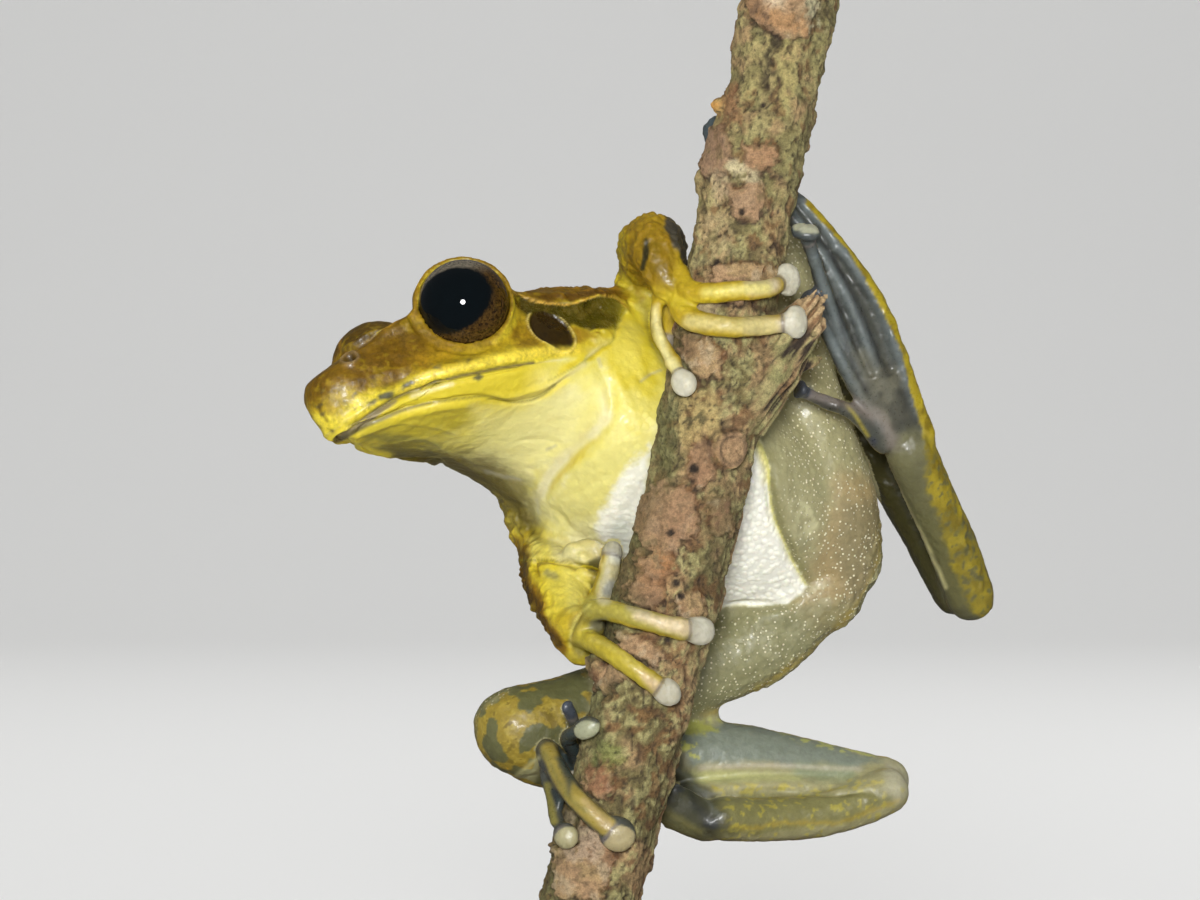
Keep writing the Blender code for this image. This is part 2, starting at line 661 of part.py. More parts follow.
def make_eye(name, side):
    """The part of the eyeball that sits in its socket and bulges out of the lids."""
    centre = head_point(EYE_BACK, side * EYE_SIDE, EYE_HIGH)
    normal = eye_opening(side)
    eye = ball(name, centre, (EYE_RADIUS,) * 3, normal, segments=24)
    return halved(eye, centre - normal * EYE_RADIUS * 0.45, normal)


def cut_sockets(head):
    for side in (-1, 1):
        centre = head_point(EYE_BACK, side * EYE_SIDE, EYE_HIGH)
        normal = eye_opening(side)
        hollow = ball("socket", centre, (EYE_RADIUS + GAP,) * 3, normal, segments=24)
        hollow = halved(hollow, centre - normal * (EYE_RADIUS * 0.45 + GAP), normal)
        boolean(head, hollow)
        front = tube("front", [centre + normal * 0.75, centre + normal * 6], [LID_RADIUS + 0.6],
                     steps=4, resolution=6)
        front = halved(front, centre + normal * 0.75, normal)
        boolean(head, front)
    return head


def cut_nostrils(head, tree):
    for side in (-1, 1):
        place, normal = on_skin(tree, 1.9, side * 2.2, 4.5)
        boolean(head, ball("nostril", place, (0.3, 0.3, 0.55), normal, segments=10))
    return head


# Stem and stand

def bark(point, size):
    """How far the bark stands out at a point."""
    ridge = noise.noise(Vector((point[0] * 0.9, point[1] * 0.9, point[2] * 0.22)))
    lump = noise.noise(Vector((point[0] * 0.3 + 5, point[1] * 0.3, point[2] * 0.18)))
    return size * (0.6 * ridge + 0.8 * lump)


def stem_form(voxel):
    """The stem with its broken stub and its leaf scar."""
    heights = np.linspace(STEM_FOOT, STEM_TOP, 110)
    turn = np.linspace(0, 2 * math.pi, 32, endpoint=False)
    rings = []
    for z in heights:
        centre = stem_centre(z)
        ring = []
        for a in turn:
            out = np.array([math.cos(a), math.sin(a), -0.19 * math.cos(a)])
            place = centre + STEM_RADIUS * out
            ring.append(place + out * bark(place, 0.35))
        rings.append(ring)
    trunk = loft("trunk", np.array(rings))
    stub = tube("stub", [(4.4, -8.0, 47.6), (7.6, -8.3, 51.6), (10.2, -8.5, 54.6)],
                [2.4, 2.2, 1.75], steps=10, resolution=4)
    pieces = [trunk, stub]
    for x, y, z, lean in ((10.9, -9.6, 56.3, 0.2), (9.9, -7.6, 56.9, -0.1),
                          (11.3, -8.2, 54.9, 0.5), (10.0, -9.3, 55.9, 0.0)):
        root = (9.2, -8.5, 53.4)
        pieces.append(tube("splinter", [root, (x, y, z)], [0.8, 0.28], steps=6))
    scar = stem_centre(46.3) + STEM_RADIUS * stem_normal((5.3, -11.0, 46.3))
    pieces.append(ball("scar", scar, (1.15, 1.15, 0.4), stem_normal(scar), segments=16))
    burl = stem_centre(63.0) + 2.6 * stem_normal((3.0, -8.0, 63.0))
    pieces.append(ball("burl", burl, (1.0, 1.6, 0.9), stem_normal(burl), segments=16))
    stem = fused("perch_stem", pieces, voxel, rounds=2)
    stem = halved(stem, (0, 0, STEM_FOOT + 0.4), (0, 0, 1))
    return halved(stem, (0, 0, STEM_TOP - 0.6), (0, 0, -1))


def make_stand():
    """A turned wooden base and the steel rod that stands in it."""
    profile = [(0.0, BASE_THICK), (BASE_RADIUS - 1.8, BASE_THICK), (BASE_RADIUS - 0.6, 5.4),
               (BASE_RADIUS, 4.2), (BASE_RADIUS, 1.2), (BASE_RADIUS - 0.5, 0.3),
               (BASE_RADIUS - 1.2, 0.0), (0.0, 0.0)]
    mesh = bpy.data.meshes.new("stand_base")
    edges = [(i, i + 1) for i in range(len(profile) - 1)]
    mesh.from_pydata([(x, 0, z) for x, z in profile], edges, [])
    base = bpy.data.objects.new("stand_base", mesh)
    bpy.context.scene.collection.objects.link(base)
    turned = base.modifiers.new("turned", "SCREW")
    turned.steps = turned.render_steps = 72
    turned.use_merge_vertices = True
    turned.merge_threshold = 0.0001
    face_out(settled(base))
    x = stem_centre(STEM_FOOT)[0]
    low, high = BASE_THICK + GAP, STEM_FOOT + 0.4 - GAP
    cage = bmesh.new()
    bmesh.ops.create_cone(cage, cap_ends=True, segments=32, radius1=ROD_RADIUS,
                          radius2=ROD_RADIUS, depth=high - low,
                          matrix=Matrix.Translation((x, STEM_Y, (low + high) / 2)))
    mesh = bpy.data.meshes.new("stand_rod")
    cage.to_mesh(mesh)
    cage.free()
    rod = bpy.data.objects.new("stand_rod", mesh)
    bpy.context.scene.collection.objects.link(rod)
    return [base, rod]


# Finish

def material_for(name):
    for key in (name, name.rsplit("_", 1)[0], "limb"):
        if key in COLOURS:
            break
    if name.startswith("eye"):
        key = "eye"
    found = bpy.data.materials.get(key)
    if found:
        return found
    red, green, blue, rough, metal = COLOURS[key]
    made = bpy.data.materials.new(key)
    made.use_nodes = True
    shader = made.node_tree.nodes["Principled BSDF"]
    shader.inputs["Base Color"].default_value = (red, green, blue, 1)
    shader.inputs["Roughness"].default_value = rough
    shader.inputs["Metallic"].default_value = metal
    return made


def finish(objects):
    """Scales the pieces to metres, colours them and hangs them on one empty."""
    home = bpy.data.collections.new(COLLECTION)
    bpy.context.scene.collection.children.link(home)
    hold = bpy.data.objects.new(COLLECTION, None)
    hold.empty_display_size = 0.01
    home.objects.link(hold)
    for obj in objects:
        low, high = box_of(obj)
        middle = Vector((low + high) / 2)
        obj.data.transform(Matrix.Scale(MM, 4) @ Matrix.Translation(-middle))
        obj.location = middle * MM
        obj.parent = hold
        obj.data.materials.clear()
        obj.data.materials.append(material_for(obj.name))
        obj.data.shade_smooth()
        obj.data.set_sharp_from_angle(angle=math.radians(50))
        for place in list(obj.users_collection):
            place.objects.unlink(obj)
        home.objects.link(obj)


def budget_for(name):
    return BUDGET.get(name, BUDGET.get(name.rsplit("_", 1)[0]))


def main():
    for obj in list(bpy.data.objects):
        bpy.data.objects.remove(obj)
    stand = make_stand()
    stem = thinned(stem_form(0.4), budget_for("perch_stem"))
    body = body_form(0.32)
    neck, back = head_point(HEAD_LENGTH, 0, 0), -head_direction(1, 0, 0)
    torso = bpy.data.objects.new("torso", body.data.copy())
    bpy.context.scene.collection.objects.link(torso)
    body.name = "head"
    cage = bmesh.new()
    cage.from_mesh(body.data)
    tree = BVHTree.FromBMesh(cage)
    cage.free()
    head = thinned(halved(body, neck - back * GAP / 2, -back), budget_for("head"))
    torso = thinned(halved(torso, neck + back * GAP / 2, back), budget_for("torso"))
    eyes = [make_eye("eye_left", 1), make_eye("eye_right", -1)]
    cut_sockets(head)
    boolean(head, mouth_blade())
    cut_nostrils(head, tree)
    head = largest(head)
    torso = cleared(torso, [stem])
    done = [stem, torso, head]
    for name in ("upper_arm_left", "upper_arm_right", "forearm_left", "forearm_right",
                 "thigh_left", "thigh_right", "shank_left", "shank_right", "tarsus_left",
                 "tarsus_right", "hand_left", "hand_right", "foot_left", "foot_right"):
        if name in LIMBS:
            piece = limb_form(name, 0.3)
        else:
            piece = hand_form(name, 0.2)
        piece = thinned(piece, budget_for(name))
        done.append(cleared(piece, done))
    finish(stand + done + eyes)


main()
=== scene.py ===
"""The looks of a stony creek frog model that grips a short stem on a small display stand.

Sizes are millimetres until each finished piece is scaled to metres. The frame is the CAD
model's: +X is the viewer's right, +Y points away from the viewer and +Z is up. The names,
points and sections of the first part are those of the part's source.

One skin covers the whole animal. It starts as the same lofts, tubes and balls as the solids,
is fused finely, and gets its folds, lips, ear and nostrils by moving its points along its
normals. Its colours are mixed point by point: broad tones from the forms of the body, then
single marks. The marks, the folds and the plates of the bark are drawn as short lines and
outlines in the pixels of a 1200 by 900 frame, and laid on what that frame shows.
Some of the marks are painted shade and painted highlights, and the bark is painted darker in
its recesses, its pits and under its plates as painted shade. The material adds the fine
mottling, the granules with painted shade in the gaps between them, and the shine.
"""

import math

import bmesh
import bpy
import numpy as np
from mathutils import Matrix, Vector, noise
from mathutils.bvhtree import BVHTree
from mathutils.kdtree import KDTree


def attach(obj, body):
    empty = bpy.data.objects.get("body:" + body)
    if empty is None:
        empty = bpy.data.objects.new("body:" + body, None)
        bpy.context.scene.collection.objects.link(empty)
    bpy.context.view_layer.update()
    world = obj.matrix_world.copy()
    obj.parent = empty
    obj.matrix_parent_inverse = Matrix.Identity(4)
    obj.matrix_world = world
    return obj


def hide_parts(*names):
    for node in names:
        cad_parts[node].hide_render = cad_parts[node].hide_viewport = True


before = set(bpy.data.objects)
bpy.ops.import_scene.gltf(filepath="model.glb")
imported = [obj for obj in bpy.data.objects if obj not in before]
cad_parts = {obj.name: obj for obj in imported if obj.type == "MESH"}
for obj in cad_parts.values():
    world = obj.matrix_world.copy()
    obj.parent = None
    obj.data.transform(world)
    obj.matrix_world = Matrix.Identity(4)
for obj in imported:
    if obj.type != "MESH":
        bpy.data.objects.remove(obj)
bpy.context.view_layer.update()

MM = 0.001
SKIN_VOXEL = 0.13
STEM_VOXEL = 0.15
TRUNK_VOXEL = 0.24
FILLET, FILLET_VOXEL = 0.35, 0.26

# Stem, in millimetres
STEM_FOOT = 14.0
STEM_TOP = 77.5
STEM_RADIUS = 3.05
STEM_Y = -8.0

# The stem's centre line, (x, z), from its cut foot to its top
STEM_LINE = [(-4.8, 13.9), (-3.9, 17.2), (-2.3, 23.6), (-0.6, 30.0), (1.2, 36.4), (2.8, 42.8),
             (3.9, 49.2), (5.0, 55.6), (6.1, 62.0), (7.6, 68.4), (8.8, 74.8), (9.5, 78.1)]

# Head frame: the front of the closed mouth, and the directions of the snout and the crown
MOUTH = Vector((-20.3, -13.0, 46.6))
HEAD_FORWARD = Vector((-0.73, -0.675, -0.12)).normalized()
HEAD_UP = Vector((-0.35, 0.21, 0.915))
PELVIS_UP = Vector((-0.01, 0.86, 0.51))

# Where the eyes and their lids sit in the head frame
EYE_BACK, EYE_SIDE, EYE_HIGH = 10.0, 5.3, 6.0
LID_RADIUS = 3.3

# Where the spine runs behind the head, with its distance from the mouth
SPINE = [(17.5, (-7.5, -1.2, 48.8)), (23.1, (-2.6, 1.0, 47.6)), (30.2, (3.3, 2.7, 44.1)),
         (37.1, (8.7, 4.2, 40.0)), (44.0, (13.0, 5.2, 36.6))]

# Body sections. Each row: distance from the mouth, crown height, then (side, height) of the
# brow edge, the cheek, the lip or flank, the jaw or belly edge, and the depth of the underside
SECTIONS = [
    (-0.55, 2.9, (0.3, 2.8), (0.5, 2.5), (0.55, 2.1), (0.35, 1.7), 1.6),
    (-0.3, 3.9, (0.9, 3.7), (1.2, 2.9), (1.2, 2.0), (0.8, 1.1), 0.8),
    (0.3, 4.7, (1.5, 4.5), (2.0, 3.0), (2.0, 1.4), (1.3, 0.2), -0.1),
    (1.0, 5.0, (1.9, 4.8), (2.5, 3.1), (2.6, 1.1), (1.9, -0.1), -0.6),
    (2.0, 5.3, (2.3, 5.1), (3.0, 3.2), (3.2, 1.1), (2.6, -0.3), -0.9),
    (5.0, 5.7, (3.1, 5.4), (4.0, 3.4), (4.7, 1.4), (4.0, -0.4), -1.2),
    (8.0, 6.1, (3.9, 5.7), (5.1, 3.5), (6.0, 1.2), (5.1, -0.6), -1.6),
    (11.0, 6.5, (5.1, 6.0), (6.3, 3.5), (7.0, 1.0), (5.8, -0.9), -2.2),
    (14.3, 6.7, (6.0, 5.8), (7.2, 3.3), (7.7, 0.6), (6.0, -1.9), -3.4),
    (17.5, 6.6, (6.3, 5.3), (7.7, 2.7), (8.0, -0.2), (6.1, -3.8), -5.4),
    (23.1, 6.2, (6.1, 4.7), (7.8, 2.1), (8.3, -0.8), (6.6, -6.0), -7.6),
    (30.2, 5.7, (5.8, 4.2), (7.6, 1.7), (8.2, -0.9), (6.0, -5.2), -6.6),
    (37.1, 4.8, (4.6, 3.6), (6.1, 1.7), (6.8, -0.4), (4.6, -3.8), -4.9),
    (41.0, 3.4, (3.2, 2.7), (4.2, 1.4), (4.7, 0.0), (3.2, -2.5), -3.2),
    (43.3, 1.5, (1.3, 1.1), (1.9, 0.6), (2.1, 0.0), (1.4, -1.0), -1.4),
]

# Limb bones: points along each piece, and its half width at each
LIMBS = {
    "thigh_left": ([(12.4, 3.9, 38.9), (11.7, 2.6, 42.7), (10.7, 1.8, 46.7), (9.8, 1.5, 51.3),
                    (8.7, 1.9, 58.2), (8.9, 3.2, 60.0)], [3.15, 3.35, 2.9, 2.5, 2.4, 2.6]),
    "shank_left": ([(9.0, 4.4, 59.9), (12.2, 5.8, 54.0), (14.9, 6.8, 48.0), (18.5, 7.4, 40.6),
                    (20.5, 7.4, 36.4)], [1.9, 2.6, 2.3, 1.7, 1.5]),
    "tarsus_left": ([(21.4, 5.2, 36.2), (20.0, 3.5, 39.8), (18.6, 1.8, 42.7),
                     (17.0, -0.4, 46.1)], [1.65, 1.7, 1.65, 1.7]),
    "thigh_right": ([(9.8, 4.3, 36.2), (7.3, 4.0, 33.4), (4.3, 3.4, 31.9), (-2.0, 1.2, 29.7),
                     (-8.3, -1.0, 27.2)], [3.3, 3.0, 2.8, 2.6, 3.1]),
    "shank_right": ([(-7.6, 0.2, 25.9), (-3.3, 1.7, 25.8), (6.0, 3.6, 25.4),
                     (13.3, 4.3, 24.4), (15.7, 4.4, 24.0)], [2.2, 2.7, 2.45, 1.7, 1.6]),
    "tarsus_right": ([(15.6, 2.6, 23.4), (13.2, 1.9, 22.4), (7.2, 0.0, 21.7),
                      (4.7, -1.4, 21.9)], [1.6, 1.5, 1.45, 1.5]),
    "upper_arm_left": ([(-1.6, -3.0, 51.4), (-0.4, -1.0, 55.0), (0.3, 0.5, 58.0)],
                       [2.1, 1.9, 1.9]),
    "forearm_left": ([(0.3, 0.3, 58.0), (0.1, -3.5, 59.0), (0.2, -7.2, 59.5)],
                     [2.0, 2.3, 1.7]),
    "upper_arm_right": ([(-8.3, 3.2, 45.8), (-7.6, 3.2, 42.5), (-6.5, 2.5, 39.5)],
                        [2.3, 2.3, 2.2]),
    "forearm_right": ([(-6.5, 2.3, 39.5), (-5.8, -2.5, 36.9), (-4.9, -6.6, 34.2)],
                      [2.3, 2.3, 1.5]),
}

# Digits: points from the palm or sole to the pad, half width, and the pad's half width
FINGER, FINGER_PAD = 0.56, 0.85
TOE, TOE_PAD = 0.56, 0.85
DIGITS = {
    "hand_left": [
        [(1.4, -9.4, 57.2), (2.2, -10.2, 56.3), (5.6, -11.7, 56.1), (7.5, -10.7, 56.3),
         (8.5, -9.9, 56.7)],
        [(1.0, -9.0, 56.2), (2.2, -10.6, 54.5), (4.9, -11.8, 53.8), (7.4, -11.0, 53.9),
         (8.7, -10.6, 54.1)],
        [(0.4, -8.6, 56.0), (0.35, -9.2, 53.6), (0.9, -10.3, 51.8), (1.75, -11.0, 50.6)],
        [(0.6, -7.2, 56.4), (0.8, -6.8, 54.5), (1.0, -6.6, 53.1)],
    ],
    "hand_right": [
        [(-4.2, -7.6, 34.5), (-3.4, -9.3, 35.3), (-0.8, -11.4, 34.95), (1.75, -11.5, 34.5),
         (2.6, -11.15, 34.5)],
        [(-4.4, -7.8, 33.6), (-3.5, -9.7, 33.1), (-1.8, -11.2, 32.15), (-0.2, -11.7, 31.1),
         (0.65, -11.5, 30.6)],
        [(-4.0, -6.6, 35.0), (-3.0, -6.0, 36.9), (-2.75, -5.7, 38.2), (-2.45, -5.3, 39.5)],
        [(-3.8, -6.4, 33.6), (-2.6, -4.6, 33.4), (-1.2, -4.2, 33.2)],
    ],
    "foot_left": [
        [(15.2, -1.6, 46.4), (13.0, -3.2, 48.5), (11.4, -3.8, 49.1), (9.9, -4.4, 49.8)],
        [(15.6, -1.4, 46.8), (12.9, -3.3, 50.9), (11.5, -3.9, 53.5), (10.4, -4.6, 55.4)],
        [(16.1, -1.2, 47.0), (13.5, -3.0, 51.2), (11.7, -4.2, 55.1), (10.6, -5.6, 58.1),
         (10.0, -7.2, 59.7)],
        [(16.8, -1.0, 47.0), (14.7, -2.7, 51.2), (12.9, -3.6, 55.6), (10.8, -4.0, 59.0),
         (8.8, -3.8, 61.6), (6.2, -3.7, 64.5), (3.9, -5.5, 66.5)],
        [(18.0, -0.8, 46.9), (16.5, -2.2, 51.2), (14.7, -3.2, 55.7), (12.0, -3.9, 59.5),
         (10.2, -3.4, 61.7), (8.4, -3.0, 63.2)],
    ],
    "foot_right": [
        [(3.8, -1.8, 22.5), (0.2, -2.6, 24.4), (-3.0, -3.2, 25.8), (-4.5, -4.6, 27.3),
         (-5.15, -6.2, 28.8)],
        [(4.0, -1.7, 22.2), (0.9, -2.5, 23.8), (-2.0, -2.9, 24.8), (-4.5, -3.9, 25.3),
         (-5.2, -5.6, 26.1), (-4.9, -7.8, 26.8), (-3.9, -10.2, 27.6)],
        [(4.1, -1.6, 22.0), (1.3, -2.5, 23.3), (-2.0, -2.8, 24.2), (-4.9, -3.4, 24.7)],
        [(4.2, -1.5, 21.8), (1.9, -2.4, 23.0), (-1.3, -2.8, 23.9), (-4.9, -3.6, 25.0),
         (-6.5, -6.2, 26.0), (-5.8, -9.0, 24.7), (-4.5, -11.0, 23.2), (-3.4, -11.9, 22.1),
         (-2.4, -11.8, 21.4)],
        [(4.3, -1.4, 21.4), (1.3, -2.3, 22.1), (-2.0, -2.6, 23.0), (-5.0, -3.8, 24.4),
         (-6.5, -6.5, 24.9), (-6.6, -8.6, 23.2), (-6.1, -10.0, 22.0), (-5.4, -10.6, 21.2)],
    ],
}
PALMS = {
    "hand_left": ([(0.2, -7.0, 59.5), (0.4, -8.6, 58.6), (1.0, -9.1, 56.8)], [1.7, 1.5, 1.25]),
    "hand_right": ([(-5.0, -6.4, 34.2), (-4.5, -7.2, 34.3), (-4.0, -7.8, 34.5)],
                   [1.45, 1.4, 1.2]),
    "foot_left": ([(17.0, -0.7, 46.2), (16.1, -1.5, 47.9), (14.6, -2.7, 51.0)],
                  [1.2, 2.3, 2.0]),
    "foot_right": ([(4.7, -1.3, 21.8), (3.0, -1.9, 22.2), (0.2, -2.5, 23.0)],
                   [1.2, 2.1, 1.9]),
}
# The share of a toe that its web reaches, and the web's half thickness
WEB_REACH = 0.62
WEB_HALF = 0.3
GRIP_REACH = 0.7


# Curves and frames

def hermite(knots, rows, wanted):
    """Rows read at the wanted knots from a smooth curve through all of them."""
    knots = np.asarray(knots, float)
    rows = np.asarray(rows, float)
    slope = np.gradient(rows, knots, axis=0)
    wanted = np.asarray(wanted, float)
    at = np.clip(np.searchsorted(knots, wanted, side="right") - 1, 0, len(knots) - 2)
    step = (knots[at + 1] - knots[at])[:, None]
    t = (wanted - knots[at])[:, None] / step
    low, high = rows[at], rows[at + 1]
    return (low * (2 * t**3 - 3 * t**2 + 1) + slope[at] * step * (t**3 - 2 * t**2 + t)
            + high * (3 * t**2 - 2 * t**3) + slope[at + 1] * step * (t**3 - t**2))


def along(points, steps):
    """Evenly spaced points on a smooth curve through the given ones, with their stations."""
    points = np.asarray(points, float)
    reach = np.concatenate([[0], np.cumsum(np.linalg.norm(np.diff(points, axis=0), axis=1))])
    wanted = np.linspace(0, reach[-1], steps)
    return hermite(reach, points, wanted), reach, wanted


def unit(rows):
    return rows / np.linalg.norm(rows, axis=-1, keepdims=True)


def stem_centre(z):
    """The stem's centre at a height."""
    line = np.asarray(STEM_LINE)
    return np.array([np.interp(z, line[:, 1], line[:, 0]), STEM_Y, z])


def stem_normal(point):
    """The direction that points straight out of the stem at a point near it."""
    centre = stem_centre(point[2])
    rise = stem_centre(point[2] + 1) - stem_centre(point[2] - 1)
    rise = rise / np.linalg.norm(rise)
    out = np.asarray(point, float) - centre
    out = out - rise * out.dot(rise)
    return out / np.linalg.norm(out)


def head_point(back, side, high):
    """A point of the head frame: behind the mouth's front, to the frog's left, and up."""
    up = (HEAD_UP - HEAD_FORWARD * HEAD_UP.dot(HEAD_FORWARD)).normalized()
    left = up.cross(HEAD_FORWARD)
    return MOUTH - HEAD_FORWARD * back + left * side + up * high


def head_direction(forward, side, up):
    start = head_point(0, 0, 0)
    return (head_point(-forward, side, up) - start).normalized()


# Meshes

def mesh_object(name, points, faces):
    mesh = bpy.data.meshes.new(name)
    mesh.from_pydata([tuple(map(float, p)) for p in points], [], faces)
    mesh.validate()
    obj = bpy.data.objects.new(name, mesh)
    bpy.context.scene.collection.objects.link(obj)
    return obj


def loft(name, rings):
    """A closed skin over rings of equal count, ended by a fan at each end."""
    count, sides = rings.shape[:2]
    points = rings.reshape(-1, 3)
    faces = []
    for i in range(count - 1):
        for j in range(sides):
            k = (j + 1) % sides
            faces.append((i * sides + j, i * sides + k, (i + 1) * sides + k,
                          (i + 1) * sides + j))
    points = np.vstack([points, rings[0].mean(0), rings[-1].mean(0)])
    first, last = count * sides, count * sides + 1
    for j in range(sides):
        k = (j + 1) % sides
        faces.append((first, k, j))
        faces.append((last, (count - 1) * sides + j, (count - 1) * sides + k))
    obj = mesh_object(name, points, faces)
    return face_out(obj)


def face_out(obj):
    cage = bmesh.new()
    cage.from_mesh(obj.data)
    bmesh.ops.recalc_face_normals(cage, faces=cage.faces)
    if cage.calc_volume(signed=True) < 0:
        bmesh.ops.reverse_faces(cage, faces=cage.faces)
    cage.to_mesh(obj.data)
    cage.free()
    return obj


def tube(name, points, radii, steps=None, resolution=3):
    """A round tube with round ends: a curve with a bevel and a radius at each point."""
    steps = steps or 4 * len(points)
    path, reach, wanted = along(points, steps)
    radius = np.interp(wanted, reach, radii) if len(radii) > 1 else np.full(steps, radii[0])
    ahead = unit(np.gradient(path, axis=0))
    leans = np.radians((80, 55, 28))
    first = [(path[0] - ahead[0] * radius[0] * math.sin(a), radius[0] * math.cos(a))
             for a in leans]
    last = [(path[-1] + ahead[-1] * radius[-1] * math.sin(a), radius[-1] * math.cos(a))
            for a in leans[::-1]]
    stops = first + list(zip(path, radius)) + last
    curve = bpy.data.curves.new(name, "CURVE")
    curve.dimensions = "3D"
    curve.bevel_depth = 1.0
    curve.bevel_resolution = resolution
    curve.use_fill_caps = True
    spline = curve.splines.new("POLY")
    spline.points.add(len(stops) - 1)
    for point, (place, size) in zip(spline.points, stops):
        point.co = (*place, 1)
        point.radius = size
    guide = bpy.data.objects.new(name, curve)
    bpy.context.scene.collection.objects.link(guide)
    bpy.context.view_layer.update()
    graph = bpy.context.evaluated_depsgraph_get()
    mesh = bpy.data.meshes.new_from_object(guide.evaluated_get(graph))
    bpy.data.objects.remove(guide)
    cage = bmesh.new()
    cage.from_mesh(mesh)
    bmesh.ops.remove_doubles(cage, verts=cage.verts, dist=1e-4)
    cage.to_mesh(mesh)
    cage.free()
    obj = bpy.data.objects.new(name, mesh)
    bpy.context.scene.collection.objects.link(obj)
    return face_out(obj)


def ribbon(name, rail_a, rail_b, half, steps=14, sides=10):
    """A thin sheet with round edges between two rails."""
    a, b = along(rail_a, steps)[0], along(rail_b, steps)[0]
    middle, across = (a + b) / 2, (b - a) / 2
    ahead = np.gradient(middle, axis=0)
    thick = unit(np.cross(ahead, across)) * half
    turn = np.linspace(0, 2 * math.pi, sides, endpoint=False)
    rings = [middle[i] + np.cos(turn)[:, None] * across[i] + np.sin(turn)[:, None] * thick[i]
             for i in range(steps)]
    return loft(name, np.array(rings))


def slab(name, points, widths, half, across):
    """A flat piece of round section, such as a sole: half widths and half thickness."""
    across = unit(np.array(across, float))
    rails = [[np.array(p) + sign * w * across for p, w in zip(points, widths)]
             for sign in (-1, 1)]
    return ribbon(name, *rails, half, steps=16, sides=16)


def ball(name, centre, radii, normal=(0, 0, 1), segments=20):
    """An ellipsoid. Its third radius lies along the normal."""
    cage = bmesh.new()
    bmesh.ops.create_uvsphere(cage, u_segments=segments, v_segments=segments // 2 + 2, radius=1)
    mesh = bpy.data.meshes.new(name)
    cage.to_mesh(mesh)
    cage.free()
    obj = bpy.data.objects.new(name, mesh)
    bpy.context.scene.collection.objects.link(obj)
    spin = Vector(normal).to_track_quat("Z", "Y").to_matrix().to_4x4()
    mesh.transform(Matrix.Translation(Vector(centre)) @ spin @ Matrix.Diagonal((*radii, 1)))
    return obj


def joined(name, pieces):
    """One object that holds the meshes of several, which are removed."""
    points, faces = [], []
    for piece in pieces:
        start = len(points)
        points += [tuple(v.co) for v in piece.data.vertices]
        faces += [tuple(start + v for v in p.vertices) for p in piece.data.polygons]
        drop(piece)
    return mesh_object(name, points, faces)


def drop(obj):
    mesh = obj.data
    bpy.data.objects.remove(obj)
    bpy.data.meshes.remove(mesh)


def settled(obj):
    """The object with its modifiers applied."""
    bpy.context.view_layer.update()
    graph = bpy.context.evaluated_depsgraph_get()
    mesh = bpy.data.meshes.new_from_object(obj.evaluated_get(graph))
    old = obj.data
    obj.modifiers.clear()
    obj.data = mesh
    bpy.data.meshes.remove(old)
    return obj


def soften(obj, rounds, keep=0.53):
    """Evens out the voxel steps without shrinking the form."""
    mesh = obj.data
    points = np.empty(len(mesh.vertices) * 3)
    mesh.vertices.foreach_get("co", points)
    points = points.reshape(-1, 3)
    ends = np.empty(len(mesh.edges) * 2, np.int32)
    mesh.edges.foreach_get("vertices", ends)
    a, b = ends.reshape(-1, 2).T
    count = np.bincount(np.concatenate([a, b]), minlength=len(points))[:, None]
    for _ in range(rounds):
        for factor in (0.5, -keep):
            total = np.zeros_like(points)
            np.add.at(total, a, points[b])
            np.add.at(total, b, points[a])
            points = points + factor * (total / count - points)
    mesh.vertices.foreach_set("co", points.ravel())
    mesh.update()
    return obj


def remeshed(obj, voxel):
    remesh = obj.modifiers.new("fuse", "REMESH")
    remesh.mode = "VOXEL"
    remesh.voxel_size = voxel
    return settled(obj)


def fused(name, pieces, voxel, rounds=6):
    """Overlapping pieces made one skin."""
    return soften(largest(remeshed(joined(name, pieces), voxel)), rounds)


def boolean(obj, cutter, operation="DIFFERENCE", solver="MANIFOLD"):
    cut = obj.modifiers.new("cut", "BOOLEAN")
    cut.operation = operation
    cut.solver = solver
    cut.object = cutter
    settled(obj)
    drop(cutter)
    return obj


def halved(obj, point, normal):
    """Keeps what lies on the far side of a plane, and closes the cut."""
    cage = bmesh.new()
    cage.from_mesh(obj.data)
    geometry = cage.verts[:] + cage.edges[:] + cage.faces[:]
    bmesh.ops.bisect_plane(cage, geom=geometry, plane_co=point, plane_no=normal,
                           clear_inner=True)
    rim = [e for e in cage.edges if e.is_boundary]
    bmesh.ops.holes_fill(cage, edges=rim, sides=0)
    cage.to_mesh(obj.data)
    cage.free()
    return face_out(largest(obj))


# Frog forms

def spine_frames(stations):
    """Centres and the left and up directions of the body's sections."""
    knots = [-1.0, 6.0, 12.0] + [s for s, _ in SPINE]
    rows = [head_point(s, 0, 0) for s in knots[:3]] + [p for _, p in SPINE]
    rows = np.array([tuple(r) for r in rows])
    rows = np.hstack([rows, np.zeros((len(rows), 1))])[:, :3]
    middle = hermite(knots, rows, stations)
    ahead = hermite(knots, rows, stations - 0.05) - hermite(knots, rows, stations + 0.05)
    ahead = unit(ahead)
    blend = np.clip((stations - 14) / 20, 0, 1)
    blend = (blend * blend * (3 - 2 * blend))[:, None]
    hint = np.array(HEAD_UP) * (1 - blend) + np.array(PELVIS_UP) * blend
    up = unit(hint - ahead * (hint * ahead).sum(1)[:, None])
    return middle, np.cross(up, ahead), up


